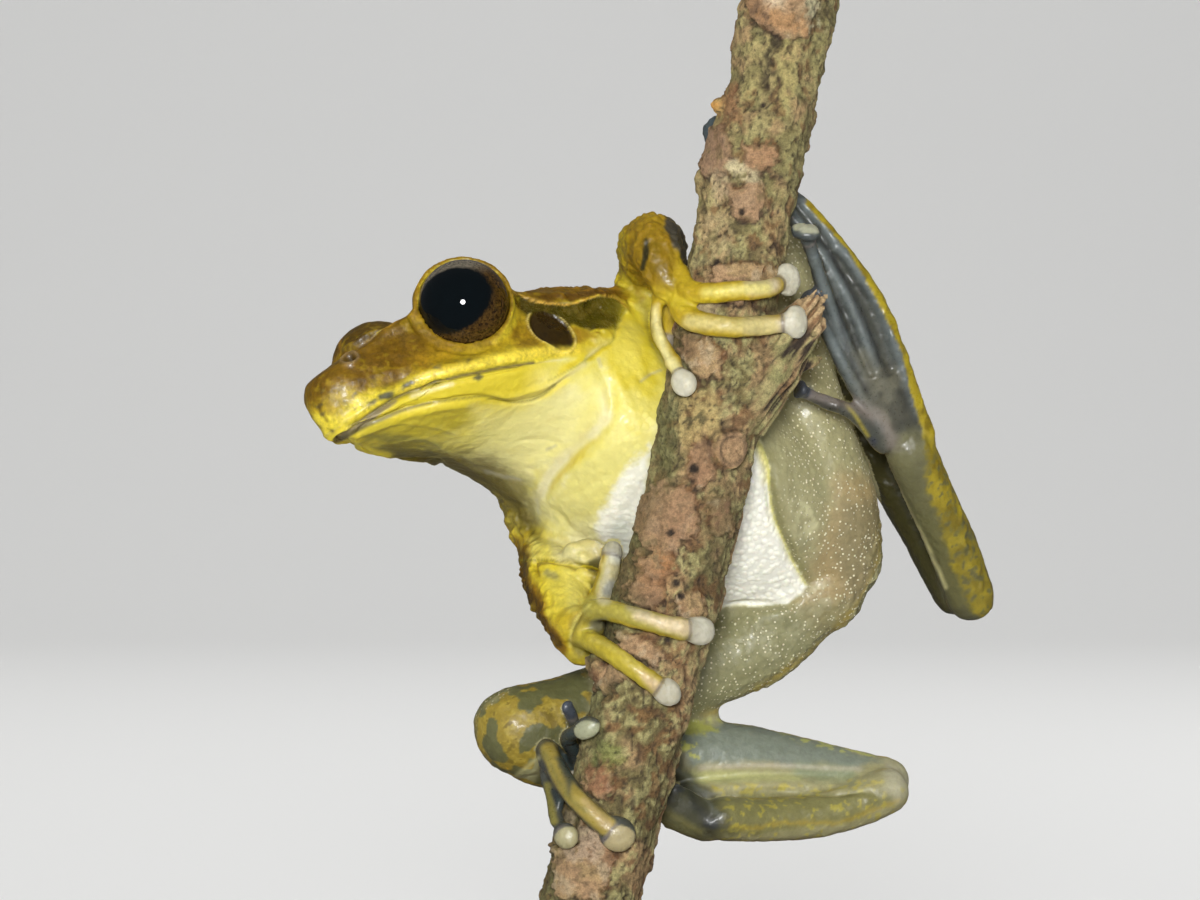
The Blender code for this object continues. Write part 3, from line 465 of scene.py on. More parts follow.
def body_loft(steps=90, sides=40):
    """The skin from the snout to the vent, without its eyes, limbs and folds."""
    knots = [row[0] for row in SECTIONS]
    rows = [[row[1], *row[2], *row[3], *row[4], *row[5], row[6]] for row in SECTIONS]
    begin, end = knots[0], knots[-1]
    nose = begin + (end - begin) * (np.linspace(0, 1, steps) ** 1.25)
    values = hermite(knots, rows, nose)
    middle, left, up = spine_frames(nose)
    rings = []
    for i, row in enumerate(values):
        half = [(0, row[0]), *row[1:9].reshape(4, 2), (0, row[9])]
        ring = half + [(-x, z) for x, z in half[-2:0:-1]]
        ring = np.array(ring + ring[:1] + ring[1:2], float)
        ring = np.vstack([ring[-3], ring])
        dense = hermite(np.arange(-1, len(ring) - 1), ring, np.linspace(0, 10, sides + 1)[:-1])
        rings.append(middle[i] + dense[:, :1] * left[i] + dense[:, 1:] * up[i])
    return loft("body", np.array(rings))


def on_skin(tree, back, side, high):
    """The nearest point of the body to a place given in the head frame, and its normal."""
    place, normal, _, _ = tree.find_nearest(head_point(back, side, high))
    return place, normal


def gripping(points, radius):
    """Digit points moved so that those beside the stem lie on it."""
    placed = []
    for point in points:
        point = np.array(point, float)
        out = stem_normal(point)
        centre = stem_centre(point[2])
        reach = (point - centre).dot(out)
        wanted = STEM_RADIUS + radius
        if abs(reach - wanted) < GRIP_REACH:
            point = point + out * (wanted - reach)
        placed.append(point)
    return placed


def eye_opening(side):
    """The direction that the open lids face."""
    return head_direction(0.50, side * 0.82, 0.16)


# Point fields

def points_of(obj):
    points = np.empty(len(obj.data.vertices) * 3)
    obj.data.vertices.foreach_get("co", points)
    return points.reshape(-1, 3)


def normals_of(obj):
    normals = np.empty(len(obj.data.vertices) * 3)
    obj.data.vertex_normals.foreach_get("vector", normals)
    return normals.reshape(-1, 3)


def put_points(obj, points):
    obj.data.vertices.foreach_set("co", points.ravel())
    obj.data.update()


def largest(obj):
    """Keeps only the largest closed surface of the mesh."""
    mesh = obj.data
    ends = np.empty(len(mesh.edges) * 2, np.int32)
    mesh.edges.foreach_get("vertices", ends)
    a, b = ends.reshape(-1, 2).T
    label = np.arange(len(mesh.vertices))
    while True:
        low = np.minimum(label[a], label[b])
        fresh = label.copy()
        np.minimum.at(fresh, a, low)
        np.minimum.at(fresh, b, low)
        fresh = fresh[fresh]
        if (fresh == label).all():
            break
        label = fresh
    keep = np.bincount(label).argmax()
    spare = set(np.flatnonzero(label != keep).tolist())
    if spare:
        cage = bmesh.new()
        cage.from_mesh(mesh)
        bmesh.ops.delete(cage, geom=[v for v in cage.verts if v.index in spare], context="VERTS")
        cage.to_mesh(mesh)
        cage.free()
    return obj


def tree_of(obj):
    cage = bmesh.new()
    cage.from_mesh(obj.data)
    tree = BVHTree.FromBMesh(cage)
    cage.free()
    return tree


def smooth_step(low, high, value):
    t = np.clip((value - low) / (high - low), 0, 1)
    return t * t * (3 - 2 * t)


def ripple(points, size, shift=0.0, depth=2):
    """Smooth noise between about -1 and 1, with lumps of the given size."""
    total, weight = np.zeros(len(points)), 1.0
    for octave in range(depth):
        scaled = points * (2.0**octave / size) + shift + 17.3 * octave
        total += weight * np.array([noise.noise(p) for p in scaled.tolist()])
        weight *= 0.5
    return total * 1.3


def nearest_on(points, line, reach=3.0):
    """Distance from each point to a polyline, and how far along it the nearest place is."""
    line = np.asarray(line, float)
    best = np.full(len(points), 1e3)
    where = np.zeros(len(points))
    low, high = line.min(0) - reach, line.max(0) + reach
    near = np.flatnonzero(((points > low) & (points < high)).all(1))
    some = points[near]
    gaps, spots = best[near], where[near]
    for i in range(len(line) - 1):
        step = line[i + 1] - line[i]
        t = np.clip(((some - line[i]) @ step) / max(step @ step, 1e-9), 0, 1)
        gap = np.linalg.norm(some - line[i] - t[:, None] * step, axis=1)
        better = gap < gaps
        gaps[better] = gap[better]
        spots[better] = i + t[better]
    best[near], where[near] = gaps, spots / (len(line) - 1)
    return best, where


# The camera, the pixels to a millimetre on the stem's plane, and the middle of the frame
CAMERA = np.array([-3.3, -338.0, 46.0])
PIXELS = 15.6
MIDDLE_X, MIDDLE_Y = 600, 450
LENS, SENSOR = 154.4, 36


def sight(px, py):
    """The place on the stem's plane that a pixel of the 1200 by 900 frame shows."""
    return np.array([CAMERA[0] + (px - MIDDLE_X) / PIXELS, STEM_Y,
                     CAMERA[2] - (py - MIDDLE_Y) / PIXELS])


def in_frame(points):
    """The pixel of the 1200 by 900 frame that each point falls on."""
    depth = (points[:, 1] - CAMERA[1]) / (STEM_Y - CAMERA[1])
    return (MIDDLE_X + (points[:, 0] - CAMERA[0]) * PIXELS / depth,
            MIDDLE_Y - (points[:, 2] - CAMERA[2]) * PIXELS / depth)


def traced(tree, pixels, steps=None):
    """A smooth line over the skin through the places that the pixels show."""
    places, depth = [], STEM_Y - CAMERA[1]
    for px, py in pixels:
        aim = sight(px, py) - CAMERA
        aim = aim / np.linalg.norm(aim)
        hit = tree.ray_cast(Vector(CAMERA), Vector(aim))[0]
        if hit is None or (places and abs((hit - Vector(CAMERA)).length - depth) > 4):
            hit = tree.find_nearest(Vector(CAMERA + aim * depth))[0]
        depth = (hit - Vector(CAMERA)).length
        places.append(tuple(hit))
    if len(places) < 3:
        return np.array(places)
    return along(places, steps or 4 * len(places))[0]


def head_coords(points):
    """How far behind the mouth, to the left and up each point is, in the head frame."""
    up = (HEAD_UP - HEAD_FORWARD * HEAD_UP.dot(HEAD_FORWARD)).normalized()
    left = up.cross(HEAD_FORWARD)
    away = points - np.array(MOUTH)
    return np.stack([-away @ np.array(HEAD_FORWARD), away @ np.array(left),
                     away @ np.array(up)], axis=1)


def mirrored(points):
    """The same line on the other side of the head."""
    return np.array([tuple(head_point(b, -s, h)) for b, s, h in head_coords(np.asarray(points))])


def bump(distance, width):
    return np.exp(-(distance / width)**2)


def ends_fade(where, share=0.15):
    return smooth_step(0, share, where) * smooth_step(0, share, 1 - where)


# Shader nodes and point attributes

def nodes_of(material):
    material.use_nodes = True
    tree = material.node_tree
    return tree, tree.nodes["Principled BSDF"]


def node(tree, kind, **values):
    """A shader node with its settings and input values."""
    made = tree.nodes.new(kind)
    for key, value in values.items():
        if hasattr(made, key):
            setattr(made, key, value)
        else:
            made.inputs[key.replace("_", " ")].default_value = value
    return made


def millimetres(tree):
    """Object coordinates in millimetres."""
    where = node(tree, "ShaderNodeTexCoord")
    scaled = node(tree, "ShaderNodeVectorMath", operation="SCALE")
    scaled.inputs["Scale"].default_value = 1000
    tree.links.new(where.outputs["Object"], scaled.inputs[0])
    return scaled.outputs[0]


def attribute(tree, name):
    return node(tree, "ShaderNodeAttribute", attribute_name=name)


def noise_at(tree, place, scale, detail=3.0, rough=0.55):
    made = node(tree, "ShaderNodeTexNoise", Scale=scale, Detail=detail, Roughness=rough)
    tree.links.new(place, made.inputs["Vector"])
    return made.outputs["Fac"]


def ramp(tree, value, stops):
    """A value run through a curve of (place, grey) stops."""
    made = node(tree, "ShaderNodeValToRGB")
    made.color_ramp.elements.remove(made.color_ramp.elements[1])
    for i, (place, level) in enumerate(stops):
        stop = made.color_ramp.elements[0] if i == 0 else made.color_ramp.elements.new(place)
        stop.position = place
        grey = (level,) * 3 if isinstance(level, (int, float)) else level
        stop.color = (*grey, 1)
    tree.links.new(value, made.inputs["Fac"])
    return made.outputs["Color"]


def mix(tree, factor, first, second, kind="MIX"):
    made = node(tree, "ShaderNodeMix", data_type="RGBA", blend_type=kind)
    for socket, value in (("Factor", factor), ("A", first), ("B", second)):
        target = [i for i in made.inputs if i.name == socket and i.type in ("VALUE", "RGBA")][
            0 if socket == "Factor" else -1]
        if isinstance(value, bpy.types.NodeSocket):
            tree.links.new(value, target)
        elif socket == "Factor":
            target.default_value = value
        else:
            target.default_value = (*value, 1)
    return [o for o in made.outputs if o.type == "RGBA"][0]


def math_node(tree, operation, first, second=0.0):
    made = node(tree, "ShaderNodeMath", operation=operation)
    for i, value in enumerate((first, second)):
        if isinstance(value, bpy.types.NodeSocket):
            tree.links.new(value, made.inputs[i])
        else:
            made.inputs[i].default_value = value
    return made.outputs[0]


def set_attribute(obj, name, values):
    made = obj.data.attributes.new(name, "FLOAT", "POINT")
    made.data.foreach_set("value", np.asarray(values, np.float32))


def set_paint(obj, colours):
    made = obj.data.attributes.new("paint", "FLOAT_COLOR", "POINT")
    rgba = np.ones((len(colours), 4), np.float32)
    rgba[:, :3] = np.clip(colours, 0, 1)
    made.data.foreach_set("color", rgba.ravel())


# The animal's one skin

# How far each eye sits from its solid, its radius, and how the far one's lids are turned
FAR_EYE_SHIFT = Vector((0.45, 0.1, 0.04))
NEAR_EYE_SHIFT = Vector((-0.06, 0.0, -0.1))
EYEBALL = 2.96
FAR_LID = 0.97
FAR_LOOK = (-0.12, 0.97, 0.12)
NEAR_RIM, FAR_RIM = 0.62, 0.9
BETWEEN_EYES = -4

def limb_tubes():
    return [tube(name, points, radii, steps=40, resolution=6)
            for name, (points, radii) in LIMBS.items()]


def is_near(eye):
    """Whether an eye is the one on the viewer's side of the head."""
    return eye.y < BETWEEN_EYES


def far_look(side):
    return head_direction(FAR_LOOK[0], side * FAR_LOOK[1], FAR_LOOK[2])


def eye_centre(side):
    """The middle of an eyeball: the far one sits a little further back than its solid."""
    centre = head_point(EYE_BACK, side * EYE_SIDE, EYE_HIGH)
    return centre + (NEAR_EYE_SHIFT if is_near(centre) else FAR_EYE_SHIFT)


def head_ridges(tree):
    """Thick folds of the head that the fused skin starts with."""
    pieces = []
    for side in (-1, 1):
        brow = [on_skin(tree, back, side * wide, high)[0]
                for back, wide, high in ((12.9, 6.4, 6.0), (14.6, 6.7, 5.2), (17.0, 7.0, 4.5),
                                         (19.4, 7.2, 3.9), (21.2, 7.6, 2.8))]
        pieces.append(tube("brow", brow, [0.45, 0.42, 0.42, 0.4, 0.25]))
        lip = [on_skin(tree, back, side * wide, high)[0]
               for back, wide, high in ((0.6, 2.0, 1.3), (2.0, 3.2, 1.6), (5.0, 4.7, 2.0),
                                        (8.0, 6.0, 1.75), (11.0, 7.0, 1.6), (14.0, 7.6, 1.5))]
        pieces.append(tube("lip", lip, [0.35, 0.4, 0.42, 0.42, 0.4, 0.25]))
        canthus = [on_skin(tree, back, side * wide, high)[0]
                   for back, wide, high in ((1.6, 2.1, 5.1), (4.0, 2.8, 5.4), (7.5, 3.8, 5.8))]
        pieces.append(tube("canthus", canthus, [0.2, 0.5, 0.95] if side > 0 else [0.2, 0.4, 0.6]))
        eye = eye_centre(side)
        lid = LID_RADIUS * (1 if is_near(eye) else FAR_LID)
        pieces.append(ball("lid", eye, (lid,) * 3, segments=48))
    return pieces


def filleted(obj, by, voxel):
    """Rounds the hollow edges: the skin is pushed out, fused again and drawn back."""
    put_points(obj, points_of(obj) + by * normals_of(obj))
    soften(remeshed(obj, voxel), 2)
    put_points(obj, points_of(obj) - by * normals_of(obj))
    return soften(obj, 4)


# Width of a digit at its root and before its disc, and of the disc, where not the usual
SLIM = {("hand_left", 2): (0.74, 0.86, 1.06), ("hand_left", 0): (1.42, 0.92, 1.22),
        ("hand_left", 1): (1.50, 1.02, 1.20), ("hand_right", 0): (1.30, 1.26, 1.20),
        ("hand_right", 1): (1.30, 1.14, 1.14), ("hand_right", 2): (1.30, 1.15, 0.60),
        ("hand_left", 3): (1.2, 0.8, 0.75), ("foot_left", 0): (1.2, 0.86, 0.85),
        ("foot_right", 3): (1.48, 1.2, 1.42), ("foot_right", 4): (0.95, 0.72, 1.05),
        ("foot_right", 0): (1.0, 0.7, 0.62), ("foot_right", 1): (1.2, 0.8, 1.08),
        ("foot_left", 2): (1.2, 0.86, 1.12)}
PAD_TURN = {("foot_left", 2): (0.2, -0.25, 1.0)}
LONG_DISCS = {("hand_right", 0), ("hand_right", 1), ("hand_left", 2), ("foot_right", 1),
              ("foot_right", 3), ("foot_right", 4)}


def disc_pad(name, i, tip, before, size):
    """The round disc at a digit's tip: those in front turn a little towards the viewer."""
    normal = stem_normal(tip)
    if (name, i) in PAD_TURN:
        normal = Vector(PAD_TURN[name, i]).normalized()
    elif tip[1] < STEM_Y:
        normal = Vector(tuple(unit(np.array(normal) + np.array([0, -0.9, 0]))))
    ahead = unit(np.asarray(tip) - np.asarray(before))
    middle = np.asarray(tip) + ahead * size * 0.45
    disc = ball(name, middle, (size, size, size * 0.6), normal, segments=32)
    across = unit(np.cross(ahead, np.asarray(normal)))
    away = points_of(disc) - middle
    if (name, i) in LONG_DISCS:
        longer = 0.2 if (name, i) == ("foot_right", 1) else 0.06
        away += longer * (np.outer(away @ ahead, ahead) - np.outer(away @ across, across))
    else:
        away -= 0.16 * np.outer(away @ ahead, ahead) - 0.08 * np.outer(away @ across, across)
    put_points(disc, middle + away)
    return disc


def toe_web(name, a, b, share):
    """The skin between two toes, from the sole to a share of the shorter toe."""
    paths = [along(a, 40)[0], along(b, 40)[0]]
    lengths = [np.linalg.norm(np.diff(p, axis=0), axis=1).sum() for p in paths]
    reach = share * min(lengths)
    rails = [path[:max(4, int(40 * reach / length))] for path, length in zip(paths, lengths)]
    return ribbon(name, rails[0], rails[1], WEB_HALF)


def digit_pieces(name):
    """Palm, fingers, pads and webs."""
    is_foot = name.startswith("foot")
    radius, disc = (TOE, TOE_PAD) if is_foot else (FINGER, FINGER_PAD)
    points, radii = PALMS[name]
    if is_foot:
        across = np.subtract(DIGITS[name][-1][0], DIGITS[name][0][0])
        pieces = [slab(name, points, radii, 0.95, across)]
    else:
        pieces = [tube(name, points, radii, resolution=6)]
    rails = []
    for i, digit in enumerate(DIGITS[name]):
        free = (name, i) == ("foot_left", 2)
        placed = [np.array(p) for p in digit] if free else gripping(digit, radius)
        rails.append(placed)
        root, neck, wide = SLIM.get((name, i), (1.32, 0.86, 1.06))
        widths = np.linspace(radius * root, radius * neck, len(placed))
        pieces.append(tube(name, placed, widths, steps=8 * len(placed), resolution=5))
        pieces.append(disc_pad(name, i, placed[-1], placed[-2], disc * wide))
        joint = placed[-2] * 0.9 + placed[-1] * 0.1
        pieces.append(ball(name, joint, (radius * (neck + 0.16),) * 3, segments=20))
        collar = placed[-1] - unit(placed[-1] - placed[-2]) * disc * wide * 0.28
        pieces.append(ball(name, collar, (radius * (neck + 0.1), radius * (neck + 0.1), 0.28),
                           placed[-1] - placed[-2], segments=20))
    if is_foot:
        for i, (a, b) in enumerate(zip(rails[1:-1], rails[2:])):
            pieces.append(toe_web(name, a, b, 0.95 if (name, i) == ("foot_right", 2) else WEB_REACH))
    return pieces, rails


def carve_sockets(skin):
    for side in (-1, 1):
        centre = eye_centre(side)
        normal = eye_opening(side) if is_near(centre) else far_look(side)
        hollow = ball("socket", centre, (EYEBALL + 0.01,) * 3, normal, segments=64)
        hollow = halved(hollow, centre - normal * EYEBALL * 0.45, normal)
        boolean(skin, hollow)
        rim = NEAR_RIM if is_near(centre) else FAR_RIM
        front = tube("front", [centre + normal * rim, centre + normal * 6], [LID_RADIUS + 0.6],
                     steps=4, resolution=10)
        front = halved(front, centre + normal * rim, normal)
        boolean(skin, front)
    return skin


body = body_loft(150, 72)
body_tree = tree_of(body)
trunk = fused("trunk", [body, *head_ridges(body_tree), *limb_tubes()], TRUNK_VOXEL, rounds=10)
filleted(trunk, FILLET, FILLET_VOXEL)
pieces, digit_rails = [trunk], {}
pieces.append(tube("tendon", [(2.5, 0.6, 23.2), (7.0, 1.6, 23.5), (13.5, 3.2, 23.6)],
                   [0.9, 1.05, 0.8], resolution=6))
pieces.append(tube("heel", [(-5.5, -5.4, 35.0), (-4.9, -5.9, 33.6), (-4.4, -6.3, 32.8)],
                   [1.5, 1.35, 1.1], resolution=6))
pieces.append(ball("rump", (11.2, 4.0, 36.9), (3.15, 3.0, 3.15), segments=32))
pieces.append(tube("palm_web", [(-4.3, -4.7, 37.9), (-3.4, -4.5, 37.5), (-2.9, -4.5, 35.9),
                                (-3.4, -5.0, 34.4)], [0.5, 0.6, 0.75, 0.6], resolution=5))
pieces.append(tube("arm_hollow", [(-4.8, -3.4, 39.2), (-3.6, -3.4, 39.1), (-2.5, -3.6, 38.4),
                                  (-2.3, -4.0, 36.8)], [0.9, 0.9, 0.8, 0.7], resolution=5))
for name in ("hand_left", "hand_right", "foot_left", "foot_right"):
    more, digit_rails[name] = digit_pieces(name)
    pieces += more
skin = fused("frog_skin", pieces, SKIN_VOXEL * 1.2, rounds=4)
carve_sockets(skin)
skin = fused("frog_skin", [skin], SKIN_VOXEL, rounds=2)

# The snout's tip is drawn back a little and the chin lifted, to the photograph's outline
P = points_of(skin)
HB, HS, HH = head_coords(P).T
mouth_height = np.interp(HB, [0, 2, 5, 8, 11], [0.4, 0.9, 1.3, 1.05, 0.9])
lift = np.interp(HB, [-1, 1, 3.5, 5, 8, 10.5, 12.2, 14, 17], [0.8, 0.9, 1.0, 0.75, 0.58, 0.58, 0.72,
                                                              0.42, 0.0])
lift *= smooth_step(0.1, 0.9, mouth_height - HH) * (HB < 17)
lift -= (0.34 + 0.16 * (HS < -1.5)) * smooth_step(4.8, 3.0, HB) * smooth_step(4.0, 5.0, HH)
lift += np.interp(HB, [14, 16, 18, 20, 22, 24, 27], [0, 0.16, 0.34, 0.72, 0.9, 0.7, 0]) * smooth_step(
    2.0, 5.0, np.abs(HS)) * smooth_step(8.4, 6.8, np.abs(HS)) * smooth_step(2.0, 3.6, HH)
back = (0.28 + 0.3 * smooth_step(3.4, 4.6, HH) + 0.25 * smooth_step(2.0, 0.6, HH)) * smooth_step(
    3.5, 0.0, HB)
blunt = np.interp(HH, [1.3, 2.2, 2.9, 5.5], [0.2, 0.14, 0.07, 0.09])
back += blunt * np.minimum(np.abs(HS), 3.6)**2 * smooth_step(7.0, 1.5, HB) * (HB < 7)
P = P + lift[:, None] * np.array(HEAD_UP) - back[:, None] * np.array(HEAD_FORWARD)
put_points(skin, P)
N = normals_of(skin)
skin_tree = tree_of(skin)

# Folds, lips, ear and nostrils: lines are placed by the pixels of the photograph that show them

MOUTH_SIDE = [(533, 363), (520, 365), (500, 368), (480, 372), (460, 376), (445, 380), (430, 385),
              (420, 389), (408, 393), (396, 398), (385, 405), (374, 412), (365, 418), (355, 424),
              (345, 431), (336, 437)]
mouth_side = traced(skin_tree, MOUTH_SIDE, 44)
mouth_front = np.array([skin_tree.find_nearest(head_point(0, 0, 0.4))[0]])
mouth = np.vstack([mouth_side, mouth_front, mirrored(mouth_side)[::-1]])
head_up = np.array(head_direction(0, 0, 1))
push = np.zeros(len(P))


def both(line):
    """A line of the near side of the head, and the same on the far side."""
    return [line, mirrored(line)]


def raise_line(line, height, width, fade=0.15):
    gap, where = nearest_on(P, line)
    return height * bump(gap, width) * ends_fade(where, fade)


def beside(line):
    """Distance to a line, its station, and how far above it in the head's up direction."""
    gap, where = nearest_on(P, line)
    spot = where * (len(line) - 1)
    low = np.clip(spot.astype(int), 0, len(line) - 2)
    place = line[low] + (spot - low)[:, None] * (line[low + 1] - line[low])
    return gap, where, (P - place) @ head_up


gap, where, above = beside(mouth)
sharp = smooth_step(0, 0.04, where) * smooth_step(0, 0.04, 1 - where)
front = bump(where - 0.5, 0.1)
push -= (0.26 - 0.2 * front) * bump(gap, 0.13) * sharp
push += 0.15 * bump(np.hypot(gap - 0.45, np.minimum(above, 0) * 2), 0.3) * (above > 0) * sharp
push += 0.12 * bump(gap - 0.42, 0.26) * (above < 0) * sharp * (1 - front)
mouth_gap, mouth_above = gap, above

JAW_CREASE = [(489, 396), (463, 398), (434, 402), (403, 410), (384, 418), (367, 425), (337, 440)]
JAW_RIDGE = [(484, 395), (505, 396), (528, 391), (552, 382), (581, 362), (596, 354)]
JAW_UNDER = [(484, 398), (515, 403), (541, 397), (556, 386), (575, 371)]
LOBE_EDGE = [(581, 363), (594, 354), (601, 348), (612, 342), (616, 328), (627, 308)]
HEAD_FOLDS = [(JAW_CREASE, -0.26, 0.18, 0.1), ([(x, y + 7) for x, y in JAW_CREASE], 0.16, 0.4, 0.2),
              (JAW_RIDGE, 0.2, 0.28, 0.15), (JAW_UNDER, -0.2, 0.2, 0.15), (LOBE_EDGE, -0.16, 0.16, 0.1),
              ([(590, 340), (602, 336), (612, 330)], 0.2, 0.7, 0.3)]
for pixels, height, width, fade in HEAD_FOLDS:
    for line in both(traced(skin_tree, pixels)):
        push += raise_line(line, height, width, fade)

THROAT_FOLD = [(597, 356), (603, 372), (610, 394), (611, 416), (601, 431), (581, 447), (566, 462),
               (552, 478), (542, 499), (540, 514)]
throat_fold = traced(skin_tree, THROAT_FOLD, 50)
push += raise_line(throat_fold, -0.22, 0.4, 0.2)
for shift, height in ((-9, 0.07), (10, 0.06)):
    push += raise_line(traced(skin_tree, [(x + shift, y) for x, y in THROAT_FOLD[2:-1]]), height,
                       0.5, 0.25)
# Finer folds of the throat, then of the belly, arms, hands and legs: line, height and width
SMALL_FOLDS = [
    ([(368, 431), (400, 423), (436, 427), (470, 440)], 0.08, 0.22),
    ([(360, 441), (383, 444), (418, 438), (449, 451), (482, 469)], 0.1, 0.25),
    ([(400, 447), (430, 450), (460, 462), (490, 484)], 0.08, 0.25),
    ([(497, 446), (530, 440), (560, 444), (588, 432)], -0.07, 0.3),
    ([(520, 468), (545, 458), (570, 455)], 0.06, 0.3),
    ([(566, 478), (590, 462), (612, 446), (640, 436)], 0.12, 0.4),
    ([(560, 500), (583, 490), (606, 476), (636, 462)], -0.1, 0.3),
    ([(615, 360), (620, 385), (632, 410), (645, 425)], 0.1, 0.4),
    ([(625, 335), (637, 360), (650, 385)], 0.08, 0.4),
    ([(655, 370), (646, 376), (636, 382)], -0.12, 0.2),
    ([(540, 535), (560, 541), (583, 556), (600, 575)], -0.35, 0.35),
    ([(533, 524), (560, 528), (590, 542), (612, 560)], 0.22, 0.5),
    ([(528, 512), (545, 520), (560, 540), (566, 560)], 0.12, 0.4),
    ([(540, 505), (556, 512), (575, 530), (592, 545)], -0.12, 0.3),
    ([(761, 445), (768, 466), (769, 489), (773, 514), (782, 537), (792, 560), (806, 586)], -0.4,
     0.3),
    ([(806, 586), (799, 595), (787, 603), (762, 605), (736, 605), (712, 608)], -0.4, 0.3),
    ([(775, 450), (781, 490), (790, 530), (806, 566)], 0.3, 0.8),
    ([(800, 606), (770, 616), (735, 618)], 0.25, 0.8),
    ([(518, 560), (535, 560), (555, 561), (592, 567)], -0.36, 0.2),
    ([(520, 568), (540, 569), (570, 572), (592, 576)], 0.18, 0.35),
    ([(520, 550), (545, 548), (570, 556)], 0.15, 0.5),
    ([(590, 604), (580, 614), (572, 629), (570, 646), (573, 658)], -0.22, 0.16),
    ([(595, 608), (585, 618), (577, 632), (576, 648)], 0.14, 0.25),
    ([(655, 238), (652, 255), (646, 272)], 0.15, 0.3),
    ([(641, 268), (648, 285), (655, 300)], -0.2, 0.25),
    ([(632, 222), (628, 245), (632, 262)], 0.16, 0.35),
    ([(668, 262), (682, 280), (700, 288)], -0.12, 0.3),
    ([(700, 768), (780, 766), (860, 770)], 0.10, 0.3),
    ([(712, 792), (780, 791), (850, 793), (885, 792)], -0.3, 0.22),
    ([(510, 782), (525, 770), (540, 757)], 0.12, 0.25),
]
for pixels, height, width in SMALL_FOLDS:
    push += raise_line(traced(skin_tree, pixels), height, width, 0.3)

# The ridge over the ear, the ear's disc and ring, the canthus and the nostrils
BROW_RIDGE = [(517, 291), (530, 298), (544, 301), (570, 303), (588, 299), (602, 296), (614, 297),
              (624, 302), (629, 309)]
brow = traced(skin_tree, BROW_RIDGE, 40)
ear_ends = traced(skin_tree, [(533, 314), (570, 348)])
for flip in (False, True):
    line = mirrored(brow) if flip else brow
    push += raise_line(line, 0.2, 0.17, 0.08)
    ends = mirrored(ear_ends) if flip else ear_ends
    centre = np.array(skin_tree.find_nearest(Vector(ends.mean(0)))[0])
    facing = np.array(skin_tree.find_nearest(Vector(ends.mean(0)))[1])
    long_way = (ends[1] - ends[0]) / 2 * 1.05
    long_way = long_way - facing * (long_way @ facing)
    short_way = np.cross(facing, long_way) / np.linalg.norm(long_way) * 1.3
    offset = P - centre
    round_ear = np.hypot(offset @ long_way / (long_way @ long_way),
                         offset @ short_way / (short_way @ short_way))
    round_ear[np.abs(offset @ facing) > 1.5] = 9
    push += 0.08 * bump(round_ear - 1.04, 0.07) - 0.12 * smooth_step(1.0, 0.86, round_ear)
    push += 0.06 * bump(round_ear, 0.4)
    if flip:
        ear_round = np.minimum(ear_round, round_ear)
    else:
        ear_round = round_ear
CANTHUS = [(341, 352), (356, 344), (372, 334), (388, 326), (402, 318), (416, 306)]
CANTHUS_FOLDS = [(CANTHUS, 0.36, 0.28, 0.2), ([(x - 5, y - 9) for x, y in CANTHUS[:5]], -0.34, 0.5, 0.2),
                 ([(x + 5, y + 10) for x, y in CANTHUS], -0.12, 0.4, 0.25)]
for pixels, height, width, fade in CANTHUS_FOLDS:
    for line in both(traced(skin_tree, pixels)):
        push += raise_line(line, height, width, fade)
nostril = traced(skin_tree, [(349, 359), (350, 358)])
nostril_gap = np.full(len(P), 9.0)
for line in both(nostril):
    gap, _ = nearest_on(P, line)
    nostril_gap = np.minimum(gap, nostril_gap)
push += 0.2 * bump(nostril_gap - 0.5, 0.2) - 0.55 * bump(nostril_gap, 0.3)

lumps = ripple(P, 0.7, 77.0)
push += 0.035 * lumps
on_crown = smooth_step(15, 17, HB) * smooth_step(30, 26, HB) * smooth_step(2.6, 3.6, HH)
push += 0.14 * on_crown * np.maximum(lumps, -0.2)
ear_lobe = bump(np.linalg.norm(P - traced(skin_tree, [(598, 334), (600, 335)])[0], axis=1), 0.9)
push += 0.16 * ear_lobe * np.maximum(ripple(P, 0.5, 33.0), -0.1)
arm_gap, _ = nearest_on(P, np.array([(-8.6, 3, 42.5), (-9.3, 1.0, 40.0), (-8.6, -2.0, 37.6),
                                     (-6.9, -5.0, 35.0)]))
push += 0.26 * smooth_step(2.6, 0.9, arm_gap) * np.maximum(lumps, -0.1)
hand_gap, _ = nearest_on(P, np.array([(0.3, -7.0, 60.6), (0.2, -9.0, 59.0), (1.2, -9.6, 56.9)]))
wrinkle = ripple(P * np.array([1.0, 1.0, 0.45]) + P[:, [2, 0, 1]] * np.array([0.4, 0, 0]), 0.7, 19.0)
push += 0.10 * smooth_step(2.6, 1.2, hand_gap) * wrinkle
rim_gap, _ = nearest_on(P, traced(skin_tree, [(858, 430), (876, 465), (882, 510), (876, 560),
                                              (855, 605), (815, 650), (760, 690)]))
push += 0.09 * smooth_step(2.5, 0.8, rim_gap) * np.maximum(lumps, -0.1)

leg_edge, _ = nearest_on(P, traced(skin_tree, [(880, 300), (908, 350), (930, 430), (950, 490),
                                               (972, 550), (990, 610)]))
push += 0.12 * smooth_step(0.9, 0.3, leg_edge) * np.maximum(lumps, -0.1)
for px, py, tall in ((832, 250, 0.3), (798, 258, 0.2), (837, 406, 0.3), (805, 390, 0.2),
                     (676, 788, 0.25), (710, 825, 0.25), (760, 372, 0.2)):
    spot = traced(skin_tree, [(px, py)])[0]
    push += tall * bump(np.linalg.norm(P - spot, axis=1), 0.42)
toe_ridge = np.zeros(len(P))
for rail in digit_rails["foot_left"][1:]:
    gap, where = nearest_on(P, along(rail, 30)[0] + np.array([0, -0.45, 0]))
    toe_ridge = np.maximum(toe_ridge, bump(gap, 0.42) * ends_fade(where, 0.1))
sole_zone = smooth_step(46.0, 48.5, P[:, 2]) * (P[:, 0] > 8) * (P[:, 1] > -6.5)
